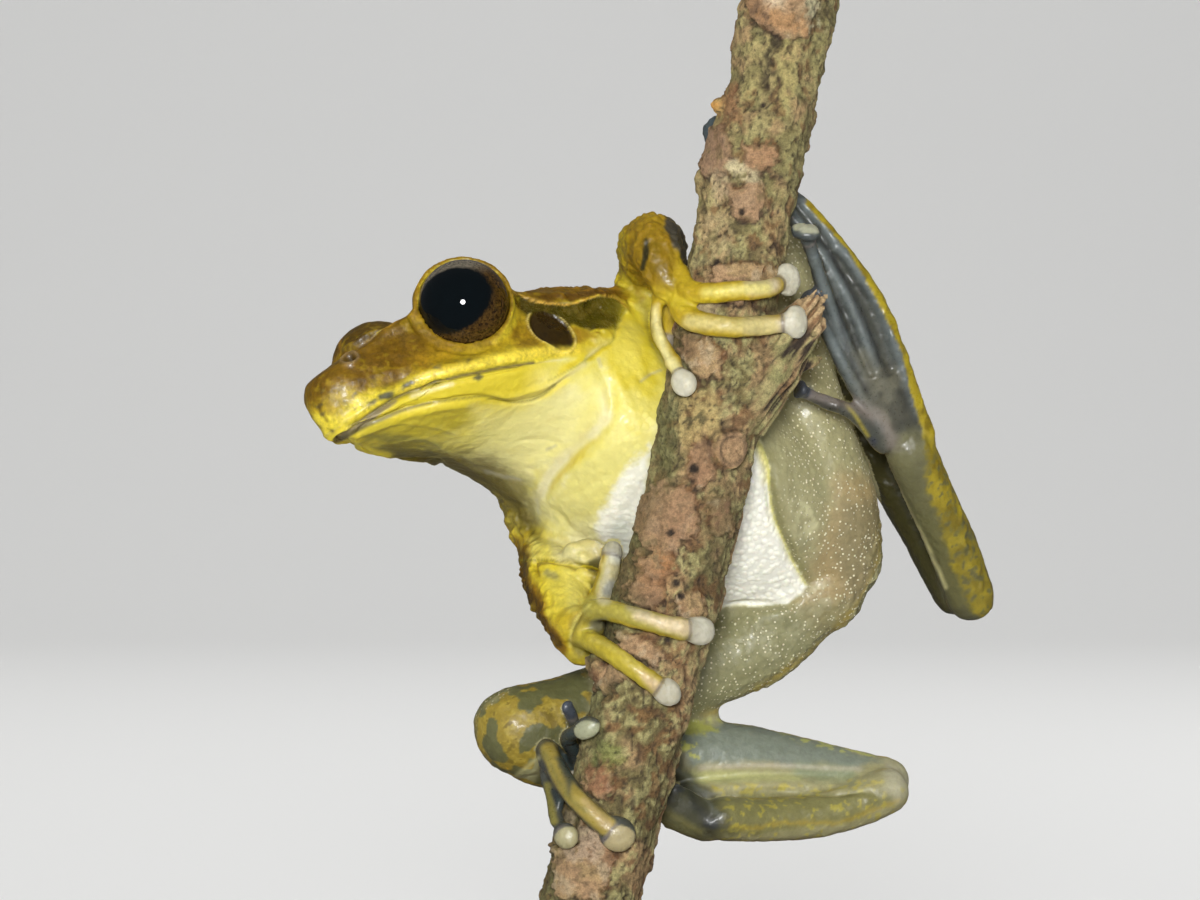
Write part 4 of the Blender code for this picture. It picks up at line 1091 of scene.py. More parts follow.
push += (0.22 * toe_ridge - 0.10) * sole_zone

P = P + push[:, None] * N
put_points(skin, P)
N = normals_of(skin)
skin_tree = tree_of(skin)


# Which piece of the animal each point belongs to

SHARE_BLEND = 0.22


def tube_gap(points, radii):
    path, reach, wanted = along(points, 24)
    gap, where = nearest_on(P, path, 5.0)
    return gap - np.interp(where * wanted[-1], reach, radii)


body_gap = np.array([(Vector(p) - body_tree.find_nearest(Vector(p))[0]).length
                     for p in P.tolist()])
gaps = {"body": body_gap - 0.3}
for name, (points, radii) in LIMBS.items():
    gaps[name] = np.abs(tube_gap(points, radii))
for name, rails in digit_rails.items():
    for i, rail in enumerate(rails):
        gaps[f"{name}.{i}"] = np.abs(tube_gap(rail, [FINGER * 1.1] * len(rail)))
for name, (points, radii) in PALMS.items():
    gaps[name] = np.abs(tube_gap(points, np.array(radii) * (0.8 if "foot" in name else 1)))
near = np.stack(list(gaps.values()), axis=1)
share = np.exp(-(near - near.min(1, keepdims=True)) / SHARE_BLEND)
share /= share.sum(1, keepdims=True)
share = dict(zip(gaps, share.T))


def share_of(*starts):
    return sum(v for k, v in share.items() if k.startswith(starts))


# Body stations: distance behind the mouth, side and height in the spine's frame
stations = np.linspace(-0.5, 43.5, 89)
middle, left, up = spine_frames(stations)
closest = np.zeros(len(P), int)
best = np.full(len(P), 1e9)
for i in range(len(stations)):
    far = ((P - middle[i])**2).sum(1)
    better = far < best
    best[better], closest[better] = far[better], i
away = P - middle[closest]
side = (away * left[closest]).sum(1)
high = (away * up[closest]).sum(1)
facing_up = (N * up[closest]).sum(1)
HB, HS, HH = head_coords(P).T


# Colours, as linear red, green and blue

UMBER = (0.060, 0.032, 0.002)
BROWN = (0.125, 0.066, 0.002)
OCHRE = (0.23, 0.135, 0.004)
GOLD = (0.40, 0.28, 0.010)
LEMON = (0.62, 0.50, 0.03)
PALE = (0.66, 0.59, 0.15)
CREAM = (0.72, 0.67, 0.32)
WHITE = (0.86, 0.85, 0.74)
LILAC = (0.52, 0.46, 0.37)
OLIVE = (0.15, 0.14, 0.04)
MIST = (0.31, 0.29, 0.15)
WARM = (0.33, 0.24, 0.11)
SLATE = (0.060, 0.062, 0.050)
DARK = (0.026, 0.017, 0.001)
EAR_BROWN = (0.026, 0.014, 0.001)
DISC = (0.50, 0.48, 0.38)

large = ripple(P, 4.0, 3.1)
medium = ripple(P, 1.3, 8.7)
small = ripple(P, 0.45, 21.0)
tiny = ripple(P, 0.2, 40.0, 1)
other = ripple(P, 1.3, 55.0)

PX, PY = in_frame(P)
seen = np.array([skin_tree.ray_cast(Vector(p), Vector(w), 60.0)[0] is None
                 for p, w in zip((P + 0.25 * N).tolist(), unit(CAMERA - P).tolist())], float)
towards = -N[:, 1]
facing = seen * smooth_step(-0.05, 0.2, (N * unit(CAMERA - P)).sum(1))


def blend(base, over, mask):
    return base + (np.asarray(over) - base) * np.clip(mask, 0, 1)[:, None]


def flat(rgb):
    return np.tile(np.asarray(rgb, float), (len(P), 1))


def frame_area(x, y, corners):
    """How far inside an outline each place of the photograph's frame is."""
    corners = np.asarray(corners, float)
    best = np.full(len(x), 1e3)
    within = np.zeros(len(x), bool)
    for (ax, ay), (bx, by) in zip(corners, np.roll(corners, -1, axis=0)):
        dx, dy = bx - ax, by - ay
        t = np.clip(((x - ax) * dx + (y - ay) * dy) / max(dx * dx + dy * dy, 1e-9), 0, 1)
        best = np.minimum(best, np.hypot(x - ax - t * dx, y - ay - t * dy))
        if dy:
            within ^= ((ay > y) != (by > y)) & (x < dx * (y - ay) / dy + ax)
    return np.where(within, best, -best)


def frame_line(x, y, path):
    """How far each place of the photograph's frame is from a line."""
    best = np.full(len(x), 1e3)
    for (ax, ay), (bx, by) in zip(path[:-1], path[1:]):
        dx, dy = bx - ax, by - ay
        t = np.clip(((x - ax) * dx + (y - ay) * dy) / (dx * dx + dy * dy), 0, 1)
        best = np.minimum(best, np.hypot(x - ax - t * dx, y - ay - t * dy))
    return best


def drawn_line(pixels, radii, soft=2.0, warp=0.0):
    """A mask along a line of the photograph's frame, wider where its radii are."""
    line = np.asarray(pixels, float)
    reach = np.concatenate([[0], np.cumsum(np.hypot(*np.diff(line, axis=0).T))])
    radii = np.full(len(line), float(radii)) if np.isscalar(radii) else np.asarray(radii, float)
    if len(line) > 2:
        wanted = np.linspace(0, reach[-1], 5 * len(line))
        line = hermite(reach, line, wanted)
        radii = np.interp(wanted, reach, radii)
    near = within_frame(line, radii.max() + soft + 2 * warp)
    x = PX[near] + warp * medium[near]
    y = PY[near] + warp * large[near] + 0.4 * warp * small[near]
    best = np.full(len(near), 1e3)
    for i in range(len(line) - 1):
        step = line[i + 1] - line[i]
        t = np.clip(((x - line[i, 0]) * step[0] + (y - line[i, 1]) * step[1])
                    / max(step @ step, 1e-9), 0, 1)
        gap = np.hypot(x - line[i, 0] - t * step[0], y - line[i, 1] - t * step[1])
        best = np.minimum(best, gap - (radii[i] + t * (radii[i + 1] - radii[i])))
    mask = np.zeros(len(P))
    mask[near] = smooth_step(soft, -soft, best) * facing[near]
    return mask


def within_frame(corners, reach):
    """The seen points near a shape of the photograph's frame."""
    low, high = corners.min(0) - reach, corners.max(0) + reach
    return np.flatnonzero((facing > 0) & (PX > low[0]) & (PX < high[0]) & (PY > low[1])
                          & (PY < high[1]))


def drawn_area(pixels, soft=3.0, warp=0.0):
    """A mask inside a closed outline of the photograph's frame."""
    corners = np.asarray(pixels, float)
    near = within_frame(corners, soft + 2 * warp)
    x = PX[near] + warp * medium[near] + 0.5 * warp * small[near]
    y = PY[near] + warp * other[near] + 0.5 * warp * tiny[near]
    mask = np.zeros(len(P))
    mask[near] = smooth_step(-soft, soft, frame_area(x, y, corners)) * facing[near]
    return mask


def head_twin(mask):
    """The mask, and the same on the far side of the head."""
    near = np.flatnonzero(twin_near)
    if not len(near):
        return mask
    twin = np.zeros(len(P))
    twin[near] = mask[twin_index[near]]
    return np.maximum(mask, twin)


# Each point of the far side of the head, with its twin on the near side
HEAD_END, TWIN_REACH = 24, 0.5
near_head = np.flatnonzero((HB < HEAD_END) & (share["body"] > 0.3) & (facing > 0.5))
finder = KDTree(len(near_head))
for k, i in enumerate(near_head):
    finder.insert(P[i], k)
finder.balance()
twin_index = np.zeros(len(P), int)
twin_near = np.zeros(len(P), bool)
far_head = np.flatnonzero((HB < HEAD_END) & (share["body"] > 0.3) & (facing < 0.5))
for i, place in zip(far_head, mirrored(P[far_head])):
    _, k, gap = finder.find(place)
    if gap < TWIN_REACH:
        twin_index[i], twin_near[i] = near_head[k], True


# Body: pale below, lemon on the sides, ochre to brown above
tone = facing_up + 0.12 * medium + 0.1 * large
torso = blend(flat(CREAM), PALE, smooth_step(-0.75, -0.3, tone))
torso = blend(torso, LEMON, smooth_step(-0.35, 0.05, tone))
torso = blend(torso, GOLD, smooth_step(0.05, 0.4, tone))
torso = blend(torso, OCHRE, smooth_step(0.35, 0.65, tone + 0.1 * small))
torso = blend(torso, BROWN, smooth_step(0.55, 0.9, tone + 0.2 * medium) * 0.8)
bars = smooth_step(0.1, 0.35, ripple(P, 3.2, 66.0)) * smooth_step(
    0.6, 0.85, tone)
torso = blend(torso, UMBER, 0.55 * bars)
upper = blend(flat(LEMON), GOLD, smooth_step(1.5, 2.2, HH + 0.4 * medium))
upper = blend(upper, OCHRE, smooth_step(1.9, 3.3, HH + 0.5 * medium + 0.4 * small))
upper = blend(upper, BROWN, smooth_step(0.35, 0.9, facing_up + 0.25 * medium) * 0.8)
in_head = smooth_step(17.5, 15.0, HB)
above_lip = np.where(mouth_gap < 6, smooth_step(-0.05, 0.1, mouth_above), smooth_step(
    0.8, 1.4, HH))
torso = blend(torso, upper, above_lip * in_head)
jaw = blend(flat(LEMON), PALE, smooth_step(-0.6, -1.6, HH + 0.3 * medium))
jaw = blend(jaw, CREAM, smooth_step(-1.6, -3.0, HH) * 0.5)
torso = blend(torso, jaw, (1 - above_lip) * smooth_step(15, 11, HB))
colour = torso * share["body"][:, None]

# Limbs: the side towards the viewer is mostly the under side
outer = towards + 0.15 * medium + 0.12 * large
back_skin = blend(flat(GOLD), OCHRE, smooth_step(-0.3, 0.4, large + 0.4 * medium))
back_skin = blend(back_skin, BROWN, smooth_step(0.1, 0.6, medium - 0.5 * large) * 0.7)
barred = smooth_step(0.1, 0.35, ripple(P * np.array([0.5, 1, 0.8]), 2.6, 71.0))
back_skin = blend(back_skin, UMBER, 0.6 * barred * smooth_step(0.2, -0.5, outer))
arm = blend(back_skin, GOLD, smooth_step(-0.5, -0.1, outer))
arm = blend(arm, LEMON, smooth_step(0.2, 0.7, outer))
colour += arm * share_of("upper_arm", "forearm")[:, None]
hand = blend(flat(OCHRE), GOLD, smooth_step(-0.4, 0.2, outer))
colour += hand * share_of("hand")[:, None]
thigh = blend(back_skin, GOLD, smooth_step(-0.5, -0.3, outer))
thigh = blend(thigh, OLIVE, smooth_step(-0.3, -0.1, outer))
thigh = blend(thigh, MIST, smooth_step(0.05, 0.6, outer))
colour += thigh * share_of("thigh")[:, None]
shank = blend(back_skin, GOLD, smooth_step(-0.4, -0.1, outer))
shank = blend(shank, MIST, smooth_step(-0.05, 0.25, outer))
colour += shank * share_of("shank", "tarsus")[:, None]
sole = blend(back_skin, GOLD, smooth_step(-0.5, -0.2, outer))
sole = blend(sole, SLATE, smooth_step(-0.1, 0.2, outer))
colour += sole * share_of("foot")[:, None]

# What the material reads at each point: granules, with painted shade in the gaps between them,
# white tips, mottling and wetness
granule = (0.14 + 0.3 * share_of("thigh") + 0.3 * share_of("hand", "forearm")
           + 0.26 * share["body"] * smooth_step(-0.1, -0.5, tone))
tips = 0.9 * share_of("thigh") * smooth_step(-0.3, 0.2, towards)
in_throat = share["body"] * (1 - above_lip) * smooth_step(19, 16, HB)
granule = granule * (1 - 0.75 * in_throat)
speck = 0.3 + 0.5 * share["body"] * above_lip * in_head - 0.2 * share["body"] * (1 - in_head)
speck = speck - 0.2 * share["body"] * (1 - above_lip) * in_head
wet = (0.12 + 0.55 * share_of("foot") + 0.35 * share_of("tarsus", "shank")
       + 0.2 * share["body"] * above_lip * in_head)


def lay(over, mask, strength=1.0):
    """Lays a colour over the skin where the mask is."""
    global colour
    colour = blend(colour, over, mask * strength)


# Head
lay(OCHRE, head_twin(drawn_area([(340, 352), (380, 345), (430, 350), (450, 362), (420, 374),
                                 (385, 388), (350, 384), (330, 375)], 8, 5)), 0.85)
lay(GOLD, head_twin(drawn_area([(430, 352), (470, 348), (500, 330), (515, 335), (520, 352),
                                (470, 362), (430, 374)], 6, 4)), 0.7)
lay(LEMON, head_twin(drawn_line([(372, 402), (400, 388), (430, 379), (465, 370), (505, 358),
                                 (540, 352), (580, 350)], [4, 5, 5, 6, 7, 8, 7], 4, 4)), 0.8)
lay(LEMON, head_twin(drawn_area([(322, 395), (345, 385), (372, 388), (376, 400), (350, 418),
                                 (332, 424), (322, 412)], 5, 4)), 0.5)
lay(OCHRE, head_twin(drawn_area([(310, 378), (330, 352), (348, 348), (345, 372), (322, 392)], 5, 4)))
lay(BROWN, head_twin(drawn_area([(345, 342), (380, 326), (408, 318), (424, 340), (414, 356),
                                 (392, 378), (360, 384), (345, 372)], 8, 8)), 0.8)
lay(BROWN, head_twin(drawn_area([(306, 400), (312, 376), (336, 358), (346, 366), (334, 386),
                                 (322, 398)], 6, 6)), 0.7)
lay(OCHRE, head_twin(drawn_area([(318, 400), (340, 394), (352, 402), (340, 418), (322, 416)], 6, 6)),
    0.55)
lay((0.42, 0.24, 0.01), head_twin(drawn_area([(404, 352), (440, 346), (470, 344), (452, 358),
                                              (420, 368)], 7, 6)), 0.55)
lay((0.095, 0.048, 0.001), head_twin(drawn_area([(350, 374), (374, 352), (400, 342), (420, 346),
                                                 (410, 370), (384, 386), (362, 390)], 9, 8)), 0.65)
lay((0.10, 0.052, 0.001), head_twin(drawn_area([(305, 404), (314, 378), (330, 368), (336, 380),
                                                (322, 396)], 7, 5)), 0.6)
# Painted highlight: a light orange line along the crest of each canthus.
lay((0.40, 0.22, 0.012), head_twin(drawn_line([(346, 351), (372, 336), (390, 325), (404, 314)],
                                              1.8, 1.6, 1)), 0.85)
lay(OCHRE, head_twin(drawn_area([(520, 322), (534, 330), (545, 345), (548, 352), (520, 350),
                                 (508, 340)], 4, 4)), 0.85)
lay(BROWN, head_twin(drawn_area([(571, 330), (600, 331), (596, 338), (576, 342)], 3, 4)), 0.6)
PATCH = [(515, 291), (524, 297), (532, 301), (553, 303), (574, 303), (587, 300), (600, 296),
         (611, 297), (620, 301), (627, 308), (624, 316), (616, 331), (607, 329), (598, 328),
         (590, 331), (581, 327), (572, 323), (566, 331), (550, 330), (536, 320), (531, 313),
         (526, 315), (519, 309), (514, 301)]
patch_mask = head_twin(drawn_area(PATCH, 1.3, 1.2))
lay((0.17, 0.125, 0.006), head_twin(drawn_area([(508, 290), (522, 300), (532, 314), (533, 330),
                                                (522, 326), (512, 310)], 6, 3)), 0.8)
lay((0.058, 0.046, 0.003), patch_mask)
lay((0.115, 0.085, 0.012), patch_mask * smooth_step(0.1, 0.5, ripple(P, 0.8, 13.0)) * 0.7)
lay((0.16, 0.13, 0.014), patch_mask * smooth_step(596, 622, PX + 12 * medium) * 0.8)
lay(DARK, patch_mask * smooth_step(540, 525, PX) * 0.5)
lay((0.30, 0.16, 0.01), head_twin(drawn_area([(573, 326), (583, 330), (592, 334), (584, 342), (575, 341)],
                                             3, 3)) * (1 - patch_mask), 0.7)
lay(OCHRE, head_twin(drawn_area([(512, 290), (530, 297), (570, 301), (600, 294), (628, 305), (630, 290),
                                 (600, 278), (540, 280)], 2, 2)) * (1 - patch_mask), 0.9)
lay(BROWN, head_twin(drawn_area([(516, 286), (560, 280), (600, 278), (628, 288), (618, 298),
                                 (600, 293), (570, 299), (535, 298)], 2, 2)) * (1 - patch_mask), 0.9)
lay((0.085, 0.038, 0.004), head_twin(drawn_area([(524, 292), (560, 294), (600, 288), (622, 296), (600, 293),
                                            (572, 301), (540, 300)], 2, 3)) * (1 - patch_mask), 0.7)
lay((0.36, 0.18, 0.01), on_crown * facing * smooth_step(0.3, 0.8, lumps) * (1 - patch_mask), 0.5)
lay((0.66, 0.40, 0.06), head_twin(drawn_line([(519, 294), (530, 300), (546, 303), (570, 304),
                                              (588, 299), (600, 295), (612, 297), (628, 308)],
                                             [0.3, 0.8, 1.0, 0.8, 0.6, 0.4, 0.3, 0.3], 0.8)), 0.95)
lay(EAR_BROWN, smooth_step(1.0, 0.93, ear_round))
lay((0.62, 0.50, 0.16), bump(ear_round - 1.05, 0.035) * (1 - drawn_area(
    [(526, 300), (562, 300), (557, 319), (545, 316), (536, 317), (527, 311)], 2)), 0.85)
lid = np.zeros(len(P))
for side_sign in (-1, 1):
    eye_at = np.array(head_point(EYE_BACK, side_sign * EYE_SIDE, EYE_HIGH))
    from_eye = np.linalg.norm(P - eye_at, axis=1)
    lid = np.maximum(lid, smooth_step(3.75, 3.45, from_eye))
lay(OCHRE, lid * smooth_step(-0.2, 0.5, facing_up + 0.2 * medium), 0.8)
lay(LEMON, lid * smooth_step(0.1, -0.5, facing_up + 0.2 * medium), 0.7)
lay(UMBER, lid * smooth_step(0.72, 0.95, facing_up + 0.2 * small), 0.4)
# The far eye's bump painted dark brown: partly its own colour, partly painted shade behind the near canthus.
lay(UMBER, drawn_area([(330, 360), (334, 336), (350, 318), (372, 312), (398, 318), (386, 328),
                       (366, 341), (352, 350)], 2, 2) * (P[:, 1] > -9), 0.85)
lay((0.36, 0.16, 0.01), drawn_line([(340, 352), (340, 340), (347, 330)], 1.2, 1.2), 0.6)
lay((0.15, 0.075, 0.002), head_twin(drawn_area([(304, 376), (330, 352), (400, 335), (430, 350), (420, 372),
                                               (360, 393), (320, 402), (304, 394)], 10, 6)), 0.45)
# A bright gold band on each side of the upper lip: partly its colour, partly a painted highlight along the
# lip's ridge.
lay((0.80, 0.62, 0.07), head_twin(drawn_line([(400, 391), (440, 374), (480, 362), (530, 353), (578, 350)],
                                             [2, 4, 5, 5, 4], 4, 2)), 0.6)
lay((0.42, 0.30, 0.02), head_twin(drawn_area([(582, 332), (610, 332), (608, 344), (592, 354), (580, 352)],
                                             4, 3)), 0.45)
for px, py, size in ((385, 396, 7), (383, 397, 6), (372, 403, 4), (408, 385, 5), (475, 376, 4),
                     (405, 387, 4), (412, 384, 3), (437, 368.5, 3), (478, 377, 4), (470, 361, 1.6),
                     (321, 405, 3.5), (323, 414, 3), (322, 388, 2), (355, 394, 2.5), (345, 400, 1.5),
                     (355, 409, 1.5)):
    lay((0.05, 0.055, 0.04), drawn_line([(px - size * 0.6, py + 1), (px + size * 0.6, py - 1)],
                                        size * 0.45, 1.6, 3.0), 0.8)
# Painted shade: a dark line in the mouth's slit.
lay((0.07, 0.055, 0.03), bump(mouth_gap, 0.13) * (mouth_gap < 1), 0.9)
lay((0.20, 0.16, 0.12), head_twin(drawn_line([(337, 440), (352, 431.5), (374, 415.5), (396, 401)],
                                             [3.4, 3.2, 2.8, 1], 1.5, 1)), 0.85)
# Painted shade in each nostril's pit. The paler ring round it is partly the rim's tone, partly painted light
# on the raised rim.
lay((0.02, 0.014, 0.006), bump(nostril_gap, 0.36), 0.97)
lay((0.30, 0.22, 0.12), bump(nostril_gap - 0.52, 0.1), 0.5)
lay(UMBER, head_twin(drawn_line([(360, 344), (378, 333), (398, 322)], 1.6, 2, 2)), 0.6)
lay(UMBER, head_twin(drawn_line([(323, 398), (322, 412), (326, 420)], 2, 2.5, 4)), 0.7)
lay(UMBER, smooth_step(0.3, 0.8, small + 0.8 * medium) * above_lip * in_head * share["body"]
    * smooth_step(1.5, 2.5, HH), 0.3)
lay(GOLD, smooth_step(0.3, 0.9, -small + 0.8 * other) * above_lip * in_head * share["body"]
    * smooth_step(1.2, 2.2, HH) * (1 - patch_mask) * smooth_step(0.9, 1.1, ear_round), 0.3)

# Throat and chest
lay(LEMON, drawn_area([(600, 350), (628, 308), (650, 330), (662, 372), (655, 420), (640, 440),
                       (615, 400), (604, 370)], 8, 5), 0.8)
lay(PALE, drawn_area([(610, 385), (655, 400), (660, 440), (640, 480), (615, 500), (590, 520),
                      (560, 530), (545, 505), (570, 470), (605, 430)], 8, 6), 0.75)
lay(LEMON, drawn_area([(395, 404), (440, 396), (500, 394), (560, 378), (585, 366), (560, 395),
                       (510, 412), (440, 420), (380, 436)], 8, 4), 0.45)
lay(LILAC, drawn_line([(604, 392), (603, 415), (590, 434), (570, 452), (553, 474), (541, 495)],
                      [3, 6, 8, 9, 9, 5], 8, 3), 0.35)
lay((0.70, 0.64, 0.24), drawn_area([(470, 408), (560, 400), (596, 385), (600, 420), (560, 455),
                                    (520, 480), (480, 450)], 12, 6), 0.7)
# Painted shade: the lower edge of the throat darkened, darkest along its outline.
lay((0.14, 0.11, 0.015), drawn_area([(390, 448), (450, 456), (500, 474), (528, 500), (532, 530),
                                     (500, 510), (450, 485)], 9, 5), 0.85)
lay((0.13, 0.10, 0.012), drawn_area([(384, 440), (440, 447), (490, 456), (528, 480), (546, 516), (534, 545),
                                     (500, 525), (450, 495), (390, 465)], 12, 5), 0.75)
lay((0.065, 0.048, 0.006), drawn_line([(400, 454), (450, 465), (490, 484), (518, 508), (536, 540)], 5, 8),
    0.6)
lay(WHITE, drawn_area([(600, 515), (625, 470), (650, 445), (648, 480), (632, 560), (612, 556),
                       (597, 540)], 6, 5), 0.9)
# Painted shade: a dark line in the jaw's crease and in the groove under the jaw.
lay((0.07, 0.06, 0.012), drawn_line([(336, 441), (368, 425), (384, 418), (403, 410), (434, 402),
                                     (463, 398), (489, 396), (515, 402), (541, 396), (555, 385)],
                                    [2, 2.2, 2, 1.6, 1.4, 1.2, 1, 1, 1, 1], 2.0), 0.85)
# Painted shade: an olive band below the jaw's crease, and olive lines along the throat's folds.
lay(OLIVE, drawn_area([(345, 446), (380, 426), (430, 412), (470, 408), (470, 425), (440, 440),
                       (400, 450)], 8, 5), 0.35)
for pixels in ([(379, 438), (415, 443), (434, 458), (454, 470)], [(362, 436), (400, 436), (440, 448)],
               [(372, 446), (392, 452), (410, 458)]):
    lay(OLIVE, drawn_line(pixels, 1.8, 3, 2), 0.55)
# Painted highlight: a pale streak on the lower lip, which is also made wet.
lay((0.72, 0.64, 0.40), drawn_line([(412, 396), (430, 390), (452, 384)], 2.2, 2), 0.6)
wet = np.maximum(wet, 0.9 * drawn_line([(412, 396), (430, 390), (452, 384)], 3, 3))
wet = np.maximum(wet, 0.9 * patch_mask)
# Painted shadow: a dark olive band on the neck beside the left hand.
lay((0.13, 0.105, 0.02), drawn_line([(634, 287), (642, 302), (650, 325), (655, 345)], [4, 5, 5, 2], 4, 2),
    0.55)
lay((0.74, 0.64, 0.12), drawn_area([(622, 322), (640, 326), (645, 372), (622, 372), (612, 345)], 6, 4),
    0.5)
lay((0.28, 0.24, 0.04), head_twin(drawn_line([(548, 381), (581, 363), (594, 354), (601, 348),
                                              (612, 342), (616, 328), (627, 309)], 0.7, 1.2)), 0.7)
for pixels in ([(536, 500), (540, 514)], [(485, 470), (520, 480)], [(548, 450), (556, 446)],
               [(640, 380), (650, 374), (660, 370)], [(598, 358), (600, 366)]):
    lay((0.33, 0.32, 0.25), drawn_line(pixels, 1.2, 1.8, 2), 0.55)

# Right arm and hand
lay(GOLD, drawn_area([(512, 533), (530, 534), (532, 556), (525, 572), (535, 596), (552, 630),
                      (566, 655), (552, 655), (520, 590)], 5, 4))
# The right forearm's left edge in ochre, brown and near black: partly its tubercles' colour, partly painted
# shade along the edge.
lay(OCHRE, drawn_line([(518, 540), (521, 570), (532, 600), (548, 632), (560, 652)], 4.5, 5, 5), 0.8)
lay(BROWN, drawn_line([(518, 545), (523, 578), (536, 604), (550, 632), (562, 655)], 5, 4, 6),
    0.75)
lay((0.26, 0.135, 0.004), drawn_line([(524, 574), (533, 596), (546, 620), (560, 645)], 6, 5, 6), 0.8)
lay((0.07, 0.035, 0.003), drawn_line([(520, 572), (528, 592), (542, 616), (556, 642)], 3.5, 3, 5), 0.85)
lay(PALE, drawn_area([(528, 540), (555, 538), (592, 562), (555, 562), (527, 562)], 5, 3), 0.6)
lay(MIST, drawn_area([(556, 548), (592, 564), (580, 566), (556, 560)], 6, 2), 0.5)
lay((0.50, 0.46, 0.18), drawn_area([(535, 500), (588, 500), (592, 545), (545, 542)], 12, 4), 0.5)
lay((0.58, 0.51, 0.10), drawn_area([(545, 575), (585, 578), (580, 610), (556, 612)], 8, 4), 0.5)
lay((0.60, 0.56, 0.30), drawn_area([(552, 538), (602, 538), (602, 566), (552, 560)], 5, 3), 0.6)
# Painted shade: a dark line along the right forearm's edge.
lay((0.035, 0.022, 0.003), drawn_line([(522, 555), (527, 590), (540, 630)], 4, 4, 2), 0.55)
lay((0.26, 0.21, 0.018), drawn_area([(572, 622), (594, 622), (594, 655), (575, 655)], 4, 3), 0.5)
lay(PALE, drawn_area([(560, 566), (594, 566), (590, 600), (572, 612), (565, 590)], 6, 3), 0.5)
lay((0.26, 0.24, 0.10), drawn_line([(545, 573), (556, 577)], 3.5, 2.5, 3), 0.75)
# Painted shade: a dark line in the elbow's crease.
lay((0.16, 0.13, 0.01), drawn_line([(519, 560), (540, 560.5), (560, 562), (592, 567)],
                                   [1.2, 1, 1, 1.6], 1.2, 1), 0.8)
lay((0.17, 0.15, 0.02), drawn_line([(600, 574), (596, 590), (588, 604)], 3, 5, 2), 0.6)
lay(OLIVE, drawn_area([(568, 618), (590, 610), (598, 630), (592, 655), (575, 662)], 6, 3), 0.6)
lay((0.33, 0.29, 0.05), drawn_line([(594, 608), (640, 618), (690, 630)], 12, 4, 2), 0.9)
lay((0.42, 0.34, 0.03), drawn_line([(586, 636), (620, 658), (650, 684)], 12, 4, 2), 0.9)
lay(PALE, drawn_line([(590, 605), (580, 614), (572, 629), (570, 646)], 1.2, 1.2), 0.6)
lay((0.11, 0.115, 0.085), drawn_area([(592, 620), (606, 618), (612, 628), (600, 634), (590, 630)], 3,
                                      2), 0.8)
lay((0.46, 0.42, 0.24), drawn_line([(616, 552), (611, 572), (604, 596)], [7, 9, 8], 3, 2), 0.9)
lay((0.24, 0.25, 0.23), drawn_line([(611, 582), (607, 592)], [4, 5], 3, 2), 0.8)
lay((0.50, 0.45, 0.15), drawn_line([(607, 556), (601, 575), (596, 592)], 1.2, 1.5, 1), 0.8)
lay((0.66, 0.68, 0.58), drawn_line([(620, 530), (618, 545), (616, 556)], [10, 9, 6], 5, 2), 0.85)
lay((0.60, 0.48, 0.30), drawn_line([(636, 616), (660, 622), (684, 628)], [3, 6, 9], 5, 2), 0.85)
lay((0.40, 0.36, 0.28), drawn_line([(628, 608), (648, 614)], 3, 4, 2), 0.5)
lay(GOLD, drawn_line([(612, 620), (640, 630), (672, 638)], 1.6, 2, 1), 0.7)
lay((0.56, 0.42, 0.24), drawn_line([(640, 672), (655, 686)], [3, 7], 5, 2), 0.85)
lay((0.50, 0.42, 0.10), drawn_line([(592, 640), (612, 648), (640, 668)], 2.5, 3, 2), 0.6)
# Painted shade: the flesh that fills the hollow between the right arm, its palm and the stem is painted
# dark.
lay((0.07, 0.06, 0.014), drawn_area([(588, 562), (600, 556), (622, 556), (622, 604), (590, 592)], 2, 1)
    * smooth_step(-5.3, -4.8, P[:, 1]), 0.9)

# Left hand
lay(OCHRE, drawn_line([(622, 232), (619, 250), (624, 272), (636, 290)], 5, 5, 6), 0.55)
lay(OCHRE, drawn_area([(618, 222), (640, 212), (664, 214), (676, 244), (672, 276), (640, 290),
                       (622, 265)], 8, 4), 0.9)
lay((0.36, 0.28, 0.010), drawn_line([(620, 236), (616, 256), (628, 286)], 6, 5, 6), 0.6)
lay((0.15, 0.10, 0.004), drawn_line([(654, 250), (660, 270), (668, 284)], 7, 7, 4), 0.6)
wet = wet * (1 - 0.6 * share_of("hand_left") * (PX < 690))
lay(LEMON, drawn_line([(668, 300), (690, 304), (715, 298)], [6, 6, 4], 6, 4), 0.5)
lay((0.035, 0.03, 0.008), drawn_line([(646, 241), (645, 254), (642, 268)], [2, 3, 2.6], 1.5, 1.5))
# The side of the left palm beyond the wrist: partly its grey, partly painted shade.
palm_grey_and_shade = drawn_area([(663, 212), (672, 214), (690, 230), (700, 262), (704, 281), (688, 268),
                         (674, 248), (666, 230)], 2.0, 2)
lay(UMBER, palm_grey_and_shade)
lay(SLATE, palm_grey_and_shade, 0.7)
lay(LILAC, drawn_line([(752, 287), (772, 285)], 8, 6, 1), 0.7)
lay(LILAC, drawn_line([(750, 325), (780, 327)], 8, 6, 1), 0.7)
lay(CREAM, drawn_line([(655, 310), (662, 345), (676, 372)], [3, 5, 6], 5, 2), 0.75)
lay(UMBER, drawn_line([(750, 286), (753, 286)], 1.2, 1.2, 2), 0.6)
lay(PALE, drawn_line([(705, 292), (765, 288)], [4, 7], 5, 2), 0.7)
lay((0.52, 0.44, 0.16), drawn_line([(690, 322), (770, 328)], [7, 9], 5, 2), 0.85)

